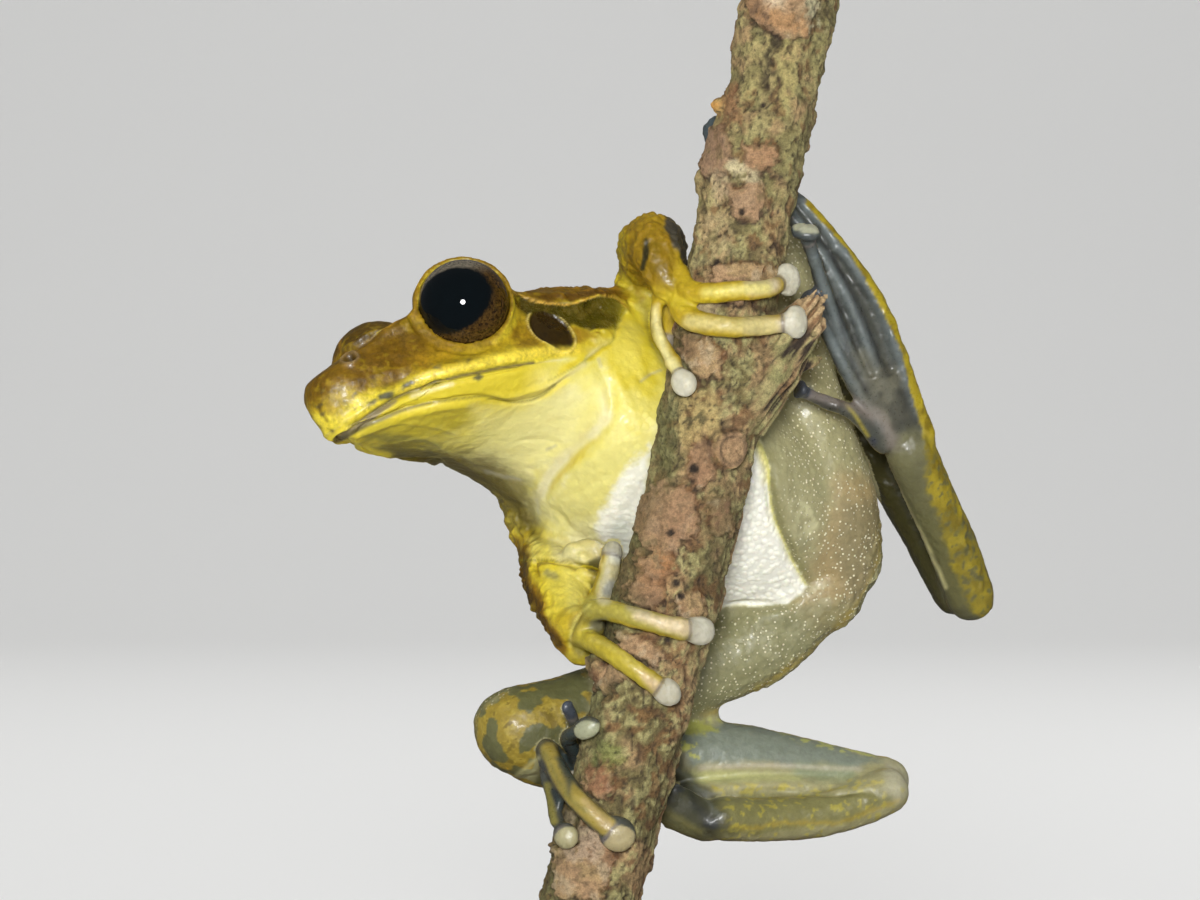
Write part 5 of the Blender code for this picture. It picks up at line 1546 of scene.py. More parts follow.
# Belly and thighs
BELLY = [(748, 425), (762, 446), (768, 466), (769, 489), (773, 514), (782, 537), (792, 560),
         (801, 575), (806, 586), (799, 595), (788, 603), (762, 605), (736, 605), (711, 608),
         (680, 600), (680, 500), (700, 430)]
belly_mask = drawn_area(BELLY, 2.0, 1.5) * smooth_step(0.0, 0.4, share["body"] + share_of(
    "thigh"))
THIGH = [(745, 420), (762, 445), (768, 466), (769, 489), (773, 514), (782, 537), (792, 560),
         (806, 586), (799, 595), (762, 605), (700, 608), (680, 700), (700, 725), (780, 680),
         (850, 620), (880, 560), (890, 500), (880, 450), (850, 400), (815, 330), (800, 330)]
thigh_mask = drawn_area(THIGH, 2.0, 1.0) * (1 - share_of("foot", "tarsus", "shank"))
lay(MIST, thigh_mask)
lay(OLIVE, thigh_mask * drawn_line([(768, 455), (774, 500), (788, 545), (806, 580)], 6, 8, 3), 0.55)
lay(WARM, thigh_mask * drawn_area([(840, 470), (878, 480), (885, 530), (868, 585), (820, 640),
                                   (800, 610), (815, 560)], 16, 6), 0.8)
cloud = smooth_step(-0.2, 0.3, ripple(P, 0.9, 37.0, 3))
lay((0.50, 0.47, 0.27), cloud * thigh_mask * drawn_area([(790, 500), (808, 498), (818, 520),
                                                         (814, 540), (798, 538)], 6, 4), 0.7)
lay((0.50, 0.47, 0.30), cloud * thigh_mask * drawn_line([(812, 590), (830, 598), (806, 622),
                                                         (770, 652)], 8, 9, 5), 0.6)
lay((0.42, 0.40, 0.18), cloud * thigh_mask * drawn_area([(725, 618), (760, 614), (770, 636),
                                                         (738, 642)], 7, 6), 0.5)
lay((0.19, 0.19, 0.09), thigh_mask * drawn_area([(690, 608), (800, 606), (850, 600), (830, 640),
                                                 (740, 700), (690, 716)], 12, 4), 0.6)
lay(GOLD, thigh_mask * drawn_line([(855, 425), (876, 460), (884, 510), (880, 550), (860, 600),
                                   (820, 645), (760, 690), (705, 716)], 2.5, 5, 4), 0.65)
lay(WHITE, belly_mask)
lay(PALE, belly_mask * drawn_line([(752, 432), (763, 450), (768, 480)], [9, 8, 4], 6, 3), 0.85)
lay(CREAM, belly_mask * drawn_line([(772, 510), (790, 556), (803, 580)], 3, 4, 2), 0.5)
lay((0.50, 0.46, 0.08), drawn_line([(761, 445), (768, 466), (769, 489), (773, 514), (782, 537),
                                    (792, 560), (806, 585)], 1.0, 1.2), 0.8)
granule = np.maximum(granule, 0.8 * belly_mask)
granule = np.minimum(granule, 1.0 - 0.65 * thigh_mask)
lay((0.16, 0.15, 0.08), thigh_mask * drawn_area([(842, 500), (884, 500), (880, 560), (850, 600), (836, 550)],
                                               10, 4), 0.5)
tips = np.maximum(tips * (1 - belly_mask), thigh_mask * smooth_step(772, 800, PX - np.minimum(
    np.maximum(PY - 560, 0), 200)))

# Left foot, tarsus and shank
lay((0.095, 0.092, 0.042), share_of("tarsus_left") * facing, 0.9)
edge = np.interp(PY, [205, 250, 300, 350, 397, 434, 480, 540, 600, 630],
                 [806, 848, 877, 901, 912, 924, 928, 943, 965, 988])
rough_edge = smooth_step(400, 460, PY)
yellow = smooth_step(-1 - 3 * rough_edge, 1 + 3 * rough_edge, PX - edge + (
    0.8 + 2.8 * rough_edge) * (medium + small)) * share_of("tarsus_left", "foot_left") * facing
lay((0.24, 0.18, 0.010), yellow)
lay((0.40, 0.31, 0.018), yellow * smooth_step(0.0, 0.6, medium + 0.3 * small + 1 - rough_edge), 0.5)
lay((0.16, 0.11, 0.006), yellow * smooth_step(-0.1, -0.6, medium + 0.3 * small), 0.6)
lay(OLIVE, yellow * smooth_step(0.1, 0.5, small - 0.3 * medium) * smooth_step(420, 470, PY), 0.75)
lay(SLATE, yellow * smooth_step(0.35, 0.6, small + 0.2 * large) * smooth_step(430, 500, PY), 0.5)
lay((0.10, 0.095, 0.03), share_of("tarsus_left") * facing * smooth_step(480, 540, PY) * (
    1 - 0.5 * yellow), 0.45)
lay(CREAM, share_of("tarsus_left") * drawn_line([(884, 462), (903, 500), (928, 549), (946, 587)],
                                                2.0, 2.5, 1), 0.65)
lay(LEMON, share_of("foot_left") * drawn_line([(868, 437), (857, 418), (846, 404)], 1.6, 2, 1), 0.4)
lay(SLATE, drawn_line([(974, 618), (962, 610)], 6, 6, 4), 0.4)
sole_left = share_of("foot_left") * facing * (1 - yellow)
# The left sole's toe ridges paler bluish: partly their tone, partly painted light; the valleys between them
# painted shade.
lay((0.14, 0.165, 0.165), sole_left * toe_ridge, 0.85)
lay((0.17, 0.155, 0.10), sole_left * drawn_area([(850, 345), (895, 370), (912, 420), (890, 440),
                                                 (862, 400)], 9, 5), 0.5)
lay((0.022, 0.022, 0.02), sole_left * (1 - toe_ridge) * smooth_step(-0.2, 0.4, medium), 0.55)
lay((0.24, 0.20, 0.17), sole_left * drawn_line([(893, 445), (880, 420), (850, 402), (815, 392)], 6,
                                               6, 3), 0.6)
for pixels in ([(868, 445), (872, 442)], [(805, 390), (808, 391)]):
    lay((0.045, 0.05, 0.06), drawn_line(pixels, 5, 2), 0.9)
for pixels in ([(838, 300), (845, 340), (866, 392)], [(822, 240), (850, 290), (880, 360)]):
    lay((0.035, 0.035, 0.035), sole_left * drawn_line(pixels, 2.5, 3), 0.6)
lay((0.024, 0.022, 0.004), share_of("shank_left") * facing, 0.95)

# Right knee, shank, tarsus and foot
knee = share_of("thigh_right", "shank_right") * drawn_area(
    [(470, 750), (480, 712), (520, 680), (570, 650), (592, 690), (585, 745), (560, 800), (500, 805)],
    5, 2)
lay((0.105, 0.105, 0.04), knee)
lay((0.40, 0.39, 0.20), knee * drawn_line([(505, 790), (526, 778), (545, 758)], 6, 6), 0.9)
tips, granule, wet = tips * (1 - knee), granule * (1 - 0.6 * knee), wet * (1 - knee)
blotch = smooth_step(-0.02, 0.05, ripple(P, 2.1, 91.0, 3) - 0.16 + 0.5 * drawn_line(
    [(590, 655), (530, 680), (490, 710), (477, 745), (486, 782), (520, 798)], 6, 12)
    + 0.3 * drawn_line([(505, 745), (530, 725), (552, 712), (575, 690), (588, 665)], 7, 9))
lay((0.26, 0.19, 0.025), knee * blotch)
lay((0.40, 0.31, 0.05), knee * blotch * smooth_step(0.0, 0.4, small), 0.6)
lay(UMBER, knee * blotch * smooth_step(0.4, 0.6, small - 0.4 * medium), 0.6)
lay(CREAM, drawn_line([(512, 780), (526, 768), (538, 758)], 1.8, 3), 0.45)
lower = share_of("shank_right", "tarsus_right", "foot_right") * facing * smooth_step(640, 670, PX)
lay((0.16, 0.195, 0.17), lower * drawn_area([(670, 728), (740, 720), (830, 742), (880, 762),
                                             (860, 768), (760, 762), (690, 764)], 5, 3), 0.8)
lay((0.47, 0.47, 0.20), lower * drawn_line([(684, 777), (740, 778), (800, 778)], [7, 5, 2], 4, 2), 0.8)
lay((0.20, 0.24, 0.14), lower * drawn_line([(800, 770), (850, 775)], 7, 6, 2), 0.75)
lay(LILAC, lower * drawn_line([(700, 768), (780, 766), (860, 770)], 2, 3, 1), 0.5)
lay((0.45, 0.46, 0.12), lower * drawn_line([(690, 722), (740, 722), (800, 738), (870, 760)], 2.5,
                                          3, 5) * smooth_step(-0.1, 0.3, small), 0.8)
lay((0.50, 0.42, 0.10), lower * drawn_line([(712, 793), (780, 789), (830, 788), (880, 784)], 2.2,
                                           3, 6) * smooth_step(0.0, 0.3, small), 0.75)
lay((0.46, 0.46, 0.07), lower * drawn_area([(682, 722), (708, 720), (722, 730), (700, 733), (684, 731)],
                                           3, 5), 0.7)
lay((0.50, 0.50, 0.10), lower * drawn_area([(677, 743), (698, 741), (699, 754), (679, 756)], 2, 4)
    * smooth_step(-0.3, 0.1, small), 0.85)
lay(OLIVE, lower * drawn_area([(700, 796), (800, 795), (890, 790), (895, 800), (860, 818),
                               (780, 832), (720, 838), (700, 820)], 5, 3), 0.75)
lay(GOLD, lower * drawn_line([(730, 828), (800, 824), (870, 812), (900, 800)], 2.0, 3, 5), 0.5)
lay((0.42, 0.36, 0.05), lower * smooth_step(0.42, 0.6, small + 0.5 * other) * smooth_step(780, 790, PY),
    0.6)
lay(DISC, lower * drawn_area([(885, 760), (905, 768), (912, 785), (900, 800), (885, 795)], 8, 2), 0.4)
foot_right = share_of("foot_right") * facing
lay((0.11, 0.105, 0.045), foot_right * smooth_step(640, 660, PX))
sole_right = drawn_area([(655, 744), (678, 754), (696, 772), (710, 794), (728, 820), (732, 834),
                         (700, 836), (676, 822), (656, 806)], 9, 5)
lay((0.050, 0.050, 0.030), sole_right, 0.9)
lay((0.022, 0.024, 0.018), drawn_line([(672, 768), (686, 788), (700, 808), (712, 820)], [2, 4, 4, 2], 5,
                                      3), 0.8)
lay((0.12, 0.13, 0.10), drawn_line([(674, 762), (690, 778), (706, 798), (720, 818)], 2, 3, 3), 0.6)
lay((0.16, 0.145, 0.05), drawn_line([(658, 800), (676, 816), (700, 830)], 3.5, 4, 3), 0.6)
# Tubercles of the right sole: dark, each with a painted highlight on its top.
for px, py in ((676, 788), (710, 825)):
    lay((0.035, 0.038, 0.036), drawn_line([(px - 3, py - 1), (px + 4, py + 1)], 4, 2), 0.85)
    lay((0.16, 0.17, 0.16), drawn_line([(px - 2, py - 3), (px + 2, py - 3)], 1, 1.5), 0.7)
granule, speck = granule * (1 - 0.9 * sole_right), speck * (1 - 0.9 * sole_right)
lay((0.30, 0.23, 0.05), foot_right * drawn_line([(549, 750), (564, 784), (590, 812), (606, 826)],
                                                [8, 9, 10, 10], 2.5, 1))
lay(OLIVE, foot_right * drawn_line([(545, 752), (560, 786), (584, 812)], 2.5, 3, 3), 0.6)
lay((0.44, 0.33, 0.16), foot_right * drawn_line([(584, 800), (596, 813), (606, 824)], [2, 4, 6], 4, 2), 0.7)
# Between the toes of the right foot: partly the web's dark blue, partly painted shade where the toes part.
web_dark_and_gap_shade = foot_right * drawn_area([(564, 730), (584, 734), (578, 770), (568, 792), (556, 760)], 4, 2)
lay((0.03, 0.045, 0.045), web_dark_and_gap_shade, 0.85)
granule, speck, wet = granule * (1 - web_dark_and_gap_shade), speck * (1 - web_dark_and_gap_shade), wet * (1 - 0.5 * sole_right)
lay((0.22, 0.19, 0.04), foot_right * drawn_line([(548, 786), (550, 806), (554, 822)], 4, 2.5, 1), 0.8)
lay((0.025, 0.035, 0.035), foot_right * drawn_line([(554, 792), (562, 806), (568, 818)], [3, 5, 3], 2,
                                                   1), 0.85)

# Discs of the fingers and toes, with the dark groove behind each. On the left foot one toe's disc
# is painted darker on its lower side than on its pale top: painted shade.
FINGER_DISC, HIDDEN_DISC = (0.44, 0.42, 0.33), (0.36, 0.34, 0.25)
DISC_TINTS = {
    "hand_left": [DISC, DISC, DISC, (0.26, 0.23, 0.18)],
    "hand_right": [FINGER_DISC, FINGER_DISC, HIDDEN_DISC, HIDDEN_DISC],
    "foot_left": [(0.045, 0.05, 0.06), (0.07, 0.075, 0.08), (0.40, 0.40, 0.28), (0.05, 0.065, 0.07),
                  DISC],
    "foot_right": [(0.06, 0.07, 0.09), (0.33, 0.34, 0.22), DISC, (0.38, 0.32, 0.17),
                   (0.34, 0.31, 0.17)],
}
for name, rails in digit_rails.items():
    size = TOE_PAD if name.startswith("foot") else FINGER_PAD
    for i, rail in enumerate(rails):
        ahead = unit(rail[-1] - rail[-2])
        centre = rail[-1] + ahead * size * 0.45
        away = P - centre
        gone = np.linalg.norm(away, axis=1)
        along_digit = away @ ahead
        tint = DISC_TINTS[name][i]
        disc = smooth_step(size * 1.4, size * 1.3, gone) * smooth_step(
            -size * 0.86, -size * 0.76, along_digit)
        lay(tint, disc * (1 - 0.08 * (small > 0.4)), 0.95)
        lay((0.15, 0.13, 0.12), bump(along_digit + size * 0.95, 0.13) * smooth_step(
            size * 1.6, size * 1.3, gone), 0.85)
        if (name, i) == ("foot_left", 2):
            lay((0.05, 0.06, 0.065), disc * smooth_step(0.5, 0.1, N[:, 2]), 0.95)
        speck = np.where(gone < size * 1.3, 0.15, speck)

set_paint(skin, colour)
for name, values in (("granule", granule), ("tips", tips), ("speck", speck), ("wet", wet)):
    set_attribute(skin, name, np.clip(values, 0, 1))


def skin_material():
    made = bpy.data.materials.new("moist_skin")
    tree, shader = nodes_of(made)
    place = millimetres(tree)
    paint = attribute(tree, "paint").outputs["Color"]
    cells = node(tree, "ShaderNodeTexVoronoi", feature="F1", Scale=2.2, Randomness=0.8)
    tree.links.new(place, cells.inputs["Vector"])
    dome = ramp(tree, cells.outputs["Distance"], [(0.0, 1.0), (0.28, 0.75), (0.6, 0.0)])
    dots = node(tree, "ShaderNodeTexVoronoi", feature="F1", Scale=3.3, Randomness=0.9)
    tree.links.new(place, dots.inputs["Vector"])
    point = ramp(tree, dots.outputs["Distance"], [(0.19, 1.0), (0.29, 0.0)])
    mottle = noise_at(tree, place, 1.7, 5, 0.62)
    fine = noise_at(tree, place, 5.0, 4, 0.6)
    dirt = attribute(tree, "speck").outputs["Fac"]
    colour = mix(tree, dirt, paint, mix(tree, 1.0, paint, ramp(
        tree, mottle, [(0.3, 0.55), (0.5, 1.0), (0.68, 1.25)]), "MULTIPLY"))
    colour = mix(tree, dirt, colour, mix(tree, 1.0, colour, ramp(
        tree, fine, [(0.32, 0.76), (0.5, 1.0), (0.66, 1.16)]), "MULTIPLY"))
    relief_and_gap_shade = attribute(tree, "granule").outputs["Fac"]
    # The gaps between the granules are painted darker: painted shade.
    shaded = mix(tree, 1.0, colour, ramp(tree, dome, [(0.0, 0.8), (0.7, 1.04)]), "MULTIPLY")
    colour = mix(tree, relief_and_gap_shade, colour, shaded)
    white_tip = math_node(tree, "MULTIPLY", point, attribute(tree, "tips").outputs["Fac"])
    colour = mix(tree, white_tip, colour, (0.72, 0.68, 0.48))
    tree.links.new(colour, shader.inputs["Base Color"])
    moist = attribute(tree, "wet").outputs["Fac"]
    dry = ramp(tree, fine, [(0.3, 0.42), (0.7, 0.60)])
    sleek = ramp(tree, fine, [(0.3, 0.16), (0.7, 0.30)])
    tree.links.new(mix(tree, moist, dry, sleek), shader.inputs["Roughness"])
    height = math_node(tree, "MULTIPLY", dome, relief_and_gap_shade)
    height = math_node(tree, "ADD", height, white_tip)
    height = math_node(tree, "ADD", height, math_node(tree, "MULTIPLY", fine, 0.45))
    relief = node(tree, "ShaderNodeBump", Strength=0.7, Distance=0.00010)
    tree.links.new(height, relief.inputs["Height"])
    tree.links.new(relief.outputs["Normal"], shader.inputs["Normal"])
    shader.inputs["Subsurface Weight"].default_value = 0.12
    shader.inputs["Subsurface Radius"].default_value = (1.0, 0.6, 0.25)
    shader.inputs["Subsurface Scale"].default_value = 0.0007
    shader.inputs["Specular IOR Level"].default_value = 0.4
    shader.inputs["Coat Weight"].default_value = 0.09
    shader.inputs["Coat Roughness"].default_value = 0.12
    return made


put_points(skin, P * MM)
skin.data.shade_smooth()
skin.data.materials.append(skin_material())

FLESH = ["head", "torso", "upper_arm_left", "upper_arm_right", "forearm_left", "forearm_right",
         "hand_left", "hand_right", "thigh_left", "thigh_right", "shank_left", "shank_right",
         "tarsus_left", "tarsus_right", "foot_left", "foot_right"]
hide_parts(*FLESH)
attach(skin, "root")


# Eyes

def eye_material():
    made = bpy.data.materials.new("eye")
    tree, shader = nodes_of(made)
    place = millimetres(tree)
    ring = attribute(tree, "ring").outputs["Fac"]
    fine = noise_at(tree, place, 5.5, 4, 0.7)
    streaks = noise_at(tree, place, 1.6, 3)
    silver = ramp(tree, attribute(tree, "silver").outputs["Fac"], [(0.35, 0), (0.7, 1)])
    bronze = mix(tree, ramp(tree, fine, [(0.38, 0), (0.62, 1)]), (0.012, 0.006, 0.002),
                 (0.075, 0.040, 0.009))
    pale = mix(tree, ramp(tree, fine, [(0.35, 0), (0.65, 1)]), (0.04, 0.034, 0.024),
               (0.19, 0.165, 0.12))
    iris = mix(tree, silver, bronze, pale)
    wavy = math_node(tree, "ADD", ring, math_node(tree, "MULTIPLY", streaks, 0.05))
    inside = ramp(tree, wavy, [(0.49, 0), (0.54, 1)])
    colour = mix(tree, inside, (0.0015, 0.003, 0.004), iris)
    rim = ramp(tree, ring, [(0.76, 0), (0.84, 1)])
    colour = mix(tree, rim, colour, (0.012, 0.006, 0.003))
    tree.links.new(colour, shader.inputs["Base Color"])
    shader.inputs["Roughness"].default_value = 0.03
    shader.inputs["Specular IOR Level"].default_value = 0.3
    return made


def dress_eyes():
    material = eye_material()
    gaze = Vector((-0.31, -0.94, 0.13)).normalized()
    for name, side in (("eye_left", 1), ("eye_right", -1)):
        centre = eye_centre(side)
        look = gaze
        if not is_near(centre):
            tip = mirrored(np.array([tuple(head_point(EYE_BACK, -side * EYE_SIDE, EYE_HIGH)
                                           + gaze)]))[0]
            look = ((Vector(tip) - centre).normalized() + far_look(side)).normalized()
        fore = (HEAD_FORWARD - look * HEAD_FORWARD.dot(look)).normalized()
        over = look.cross(fore)
        if over.z < 0:
            over = -over
        eye = ball("ball_" + name, centre, (EYEBALL,) * 3, eye_opening(side), segments=128)
        out = unit(points_of(eye) - np.array(centre))
        ahead, wide, tall = out @ np.array(look), out @ np.array(fore), out @ np.array(over)
        ring = np.hypot(wide / 0.89, tall / 0.71)
        ring[ahead < 0] = 2
        set_attribute(eye, "ring", np.clip(ring / 2, 0, 1))
        set_attribute(eye, "silver", np.clip(0.5 + 0.7 * tall + 0.4 * wide, 0, 1))
        put_points(eye, points_of(eye) * MM)
        eye.data.shade_smooth()
        eye.data.materials.append(material)
        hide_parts(name)
        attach(eye, "root")


dress_eyes()


# Stem

def bark(point, size):
    """How far the bark stands out at a point, as in the solid."""
    ridge = noise.noise(Vector((point[0] * 0.9, point[1] * 0.9, point[2] * 0.22)))
    lump = noise.noise(Vector((point[0] * 0.3 + 5, point[1] * 0.3, point[2] * 0.18)))
    return size * (0.6 * ridge + 0.8 * lump)


def stem_core():
    heights = np.linspace(STEM_FOOT, STEM_TOP, 180)
    turn = np.linspace(0, 2 * math.pi, 64, endpoint=False)
    rings = []
    for z in heights:
        centre = stem_centre(z)
        ring = []
        for a in turn:
            out = np.array([math.cos(a), math.sin(a), -0.19 * math.cos(a)])
            place = centre + STEM_RADIUS * out
            ring.append(place + out * (bark(place, 0.35) - 0.1 * smooth_step(54, 60, z)))
        rings.append(ring)
    trunk = loft("trunk", np.array(rings))
    stub_line = [(4.4, -8.0, 47.6), (7.6, -8.3, 51.6), (9.6, -8.45, 54.0)]
    pieces = [trunk, tube("stub", stub_line, [2.5, 2.25, 1.45], steps=20, resolution=8)]
    root = np.array((8.2, -8.4, 52.2))
    ahead = unit(np.array((2.5, -0.2, 3.0)))
    across = unit(np.cross(ahead, (0, 1, 0)))
    over = np.cross(ahead, across)
    for i in range(40):
        turn, reach = i * 2.4, 1.9 * math.sqrt((i + 0.5) / 40)
        start = root + reach * (math.cos(turn) * across + math.sin(turn) * over)
        to_side = (10.7 - start[0]) / ahead[0]
        to_top = (48.4 + 0.72 * start[0] - start[2] + 0.3) / (ahead[2] - 0.72 * ahead[0])
        bunch = (1.0, 0.1, -0.9)[int(abs(math.cos(turn)) * 2.9)]
        ragged = 1.2 * noise.noise(Vector((i * 1.7, 3.3, 0.5))) + 0.7 * bunch
        longer = max(0.8, min(to_side, to_top) + ragged)
        lean = 0.9 * noise.noise(Vector((i * 2.3, 9.1, 4)))
        end = start + ahead * longer + lean * across * 0.6 + 0.3 * over * lean
        thick = 0.28 + 0.16 * noise.noise(Vector((i * 3.1, 1.1, 7)))
        pieces.append(tube("splinter", [start, (start + end) / 2, end],
                           [thick, thick * 0.85, 0.1], steps=8, resolution=4))
    scar = stem_centre(46.3) + STEM_RADIUS * stem_normal((5.3, -11.0, 46.3))
    pieces.append(ball("scar", scar, (1.15, 1.15, 0.4), stem_normal(scar), segments=32))
    pieces.append(ball("knob", (4.3, -8.3, 68.1), (0.45,) * 3, segments=16))
    burl = stem_centre(63.0) + 2.6 * stem_normal((3.0, -8.0, 63.0))
    pieces.append(ball("burl", burl, (1.0, 1.6, 0.9), stem_normal(burl), segments=32))
    block = stem_centre(31.6) + 3.05 * stem_normal((-6.2, -9.2, 31.6))
    pieces.append(ball("block", block, (1.0, 1.2, 0.85), stem_normal(block), segments=24))
    stem = fused("bark_stem", pieces, STEM_VOXEL, rounds=2)
    stem = halved(stem, (0, 0, STEM_FOOT + 0.4), (0, 0, 1))
    return halved(stem, (0, 0, STEM_TOP - 0.6), (0, 0, -1)), scar


# Smooth plates of bark on the side that the photograph shows: outlines in its frame
PLATES = [
    [(728, 186), (762, 184), (768, 212), (752, 222), (734, 216)],
    [(748, -20), (808, -20), (806, 34), (786, 40), (770, 30), (750, 18)],
    [(744, 146), (772, 142), (778, 158), (768, 172), (748, 168)],
    [(700, 132), (722, 128), (732, 150), (726, 172), (704, 176)],
    [(712, 266), (745, 262), (776, 270), (778, 282), (740, 302), (716, 300)],
    [(680, 334), (706, 338), (724, 352), (722, 376), (700, 380), (684, 362)],
    [(690, 442), (704, 436), (716, 446), (714, 478), (700, 490), (690, 478)],
    [(642, 500), (668, 482), (694, 492), (698, 530), (678, 552), (650, 548), (638, 528)],
    [(647, 552), (668, 548), (676, 566), (664, 580), (646, 574)],
    [(634, 582), (656, 576), (664, 596), (650, 608), (630, 602)],
    [(588, 662), (612, 664), (628, 676), (606, 690), (588, 688)],
    [(620, 634), (650, 640), (668, 658), (652, 664), (626, 652)],
    [(588, 768), (612, 764), (614, 790), (598, 800), (586, 790)],
    [(556, 846), (600, 836), (616, 858), (600, 900), (556, 900)],
    [(706, 500), (728, 496), (732, 530), (716, 540)],
    [(672, 600), (700, 592), (706, 618), (684, 626)],
]


# Single patches of colour on the bark: outline in the frame, linear colour and strength
STEM_PATCHES = [
    ([(790, -20), (820, -20), (824, 30), (800, 30)], (0.40, 0.36, 0.22), 0.8),
    ([(748, -20), (806, -20), (806, 34), (770, 26)], (0.36, 0.23, 0.12), 0.85),
    ([(752, 8), (806, 14), (806, 34), (770, 26)], (0.30, 0.15, 0.05), 0.6),
    ([(766, -20), (790, -20), (786, 6), (764, 2)], (0.50, 0.40, 0.26), 0.8),
    ([(722, 84), (738, 84), (746, 126), (724, 132)], (0.22, 0.10, 0.04), 0.7),
    ([(746, 40), (770, 40), (766, 90), (744, 100)], (0.34, 0.29, 0.11), 0.5),
    ([(780, 44), (800, 40), (790, 110), (772, 120)], (0.34, 0.29, 0.10), 0.5),
    ([(728, 158), (742, 160), (758, 172), (764, 188), (746, 184), (730, 172)], (0.52, 0.44, 0.26),
     0.85),
    ([(744, 146), (772, 142), (778, 158), (768, 172), (748, 168)], (0.30, 0.165, 0.08), 0.85),
    ([(700, 132), (722, 128), (732, 150), (726, 172), (704, 176)], (0.27, 0.165, 0.095), 0.85),
    ([(712, 172), (730, 174), (732, 196), (716, 204)], (0.40, 0.31, 0.18), 0.6),
    ([(728, 186), (762, 184), (768, 212), (752, 222), (734, 216)], (0.30, 0.18, 0.095), 0.75),
    ([(640, 500), (668, 484), (694, 494), (698, 530), (676, 552), (646, 548)], (0.27, 0.155, 0.08),
     0.7),
    ([(642, 556), (664, 550), (676, 566), (670, 588), (646, 592)], (0.27, 0.14, 0.06), 0.7),
    ([(660, 556), (672, 552), (676, 566), (668, 578), (662, 572)], (0.30, 0.13, 0.04), 0.6),
    ([(678, 392), (716, 392), (724, 440), (690, 452), (676, 430)], (0.40, 0.29, 0.11), 0.7),
    ([(770, 430), (788, 402), (804, 376), (812, 380), (796, 410), (778, 436)], (0.22, 0.11, 0.05),
     0.8),
    ([(818, 284), (834, 290), (838, 318), (826, 330), (814, 306)], (0.46, 0.34, 0.18), 0.8),
    ([(700, 500), (724, 470), (740, 500), (716, 600), (700, 560)], (0.12, 0.10, 0.035), 0.5),
    ([(576, 668), (600, 668), (600, 690), (574, 690)], (0.12, 0.035, 0.015), 0.8),
    ([(596, 742), (620, 744), (626, 760), (606, 774), (592, 766)], (0.16, 0.18, 0.04), 0.7),
    ([(588, 770), (608, 766), (612, 790), (592, 798)], (0.22, 0.09, 0.04), 0.85),
    ([(560, 812), (600, 806), (606, 836), (596, 862), (562, 860)], (0.36, 0.27, 0.18), 0.75),
    ([(700, 214), (730, 212), (734, 250), (706, 262)], (0.44, 0.34, 0.17), 0.5),
    ([(690, 300), (720, 296), (716, 330), (694, 336)], (0.40, 0.30, 0.17), 0.6),
]
STEM_CRACK = [(776, 36), (770, 58), (762, 82)]
STEM_HOLES = [(694, 469, 0.36), (742, 212, 0.22), (716, 262, 0.28), (668, 640, 0.25), (676, 583, 0.3),
              (762, 105, 0.2), (672, 533, 0.22), (681, 596, 0.26)]


def bark_material():
    made = bpy.data.materials.new("bark")
    tree, shader = nodes_of(made)
    place = millimetres(tree)
    grain = noise_at(tree, place, 3.2, 6, 0.68)
    tiny = noise_at(tree, place, 14.0, 3, 0.6)
    paint = attribute(tree, "paint").outputs["Color"]
    shade = ramp(tree, grain, [(0.32, 0.55), (0.5, 1.0), (0.68, 1.35)])
    colour = mix(tree, 1.0, paint, shade, "MULTIPLY")
    colour = mix(tree, 0.55, colour, mix(tree, 1.0, colour, ramp(
        tree, tiny, [(0.35, 0.62), (0.65, 1.28)]), "MULTIPLY"))
    tree.links.new(colour, shader.inputs["Base Color"])
    dull = ramp(tree, grain, [(0.3, 0.95), (0.7, 0.72)])
    tree.links.new(dull, shader.inputs["Roughness"])
    height = math_node(tree, "ADD", grain, math_node(tree, "MULTIPLY", tiny, 0.5))
    relief = node(tree, "ShaderNodeBump", Strength=0.8, Distance=0.00018)
    tree.links.new(height, relief.inputs["Height"])
    tree.links.new(relief.outputs["Normal"], shader.inputs["Normal"])
    return made


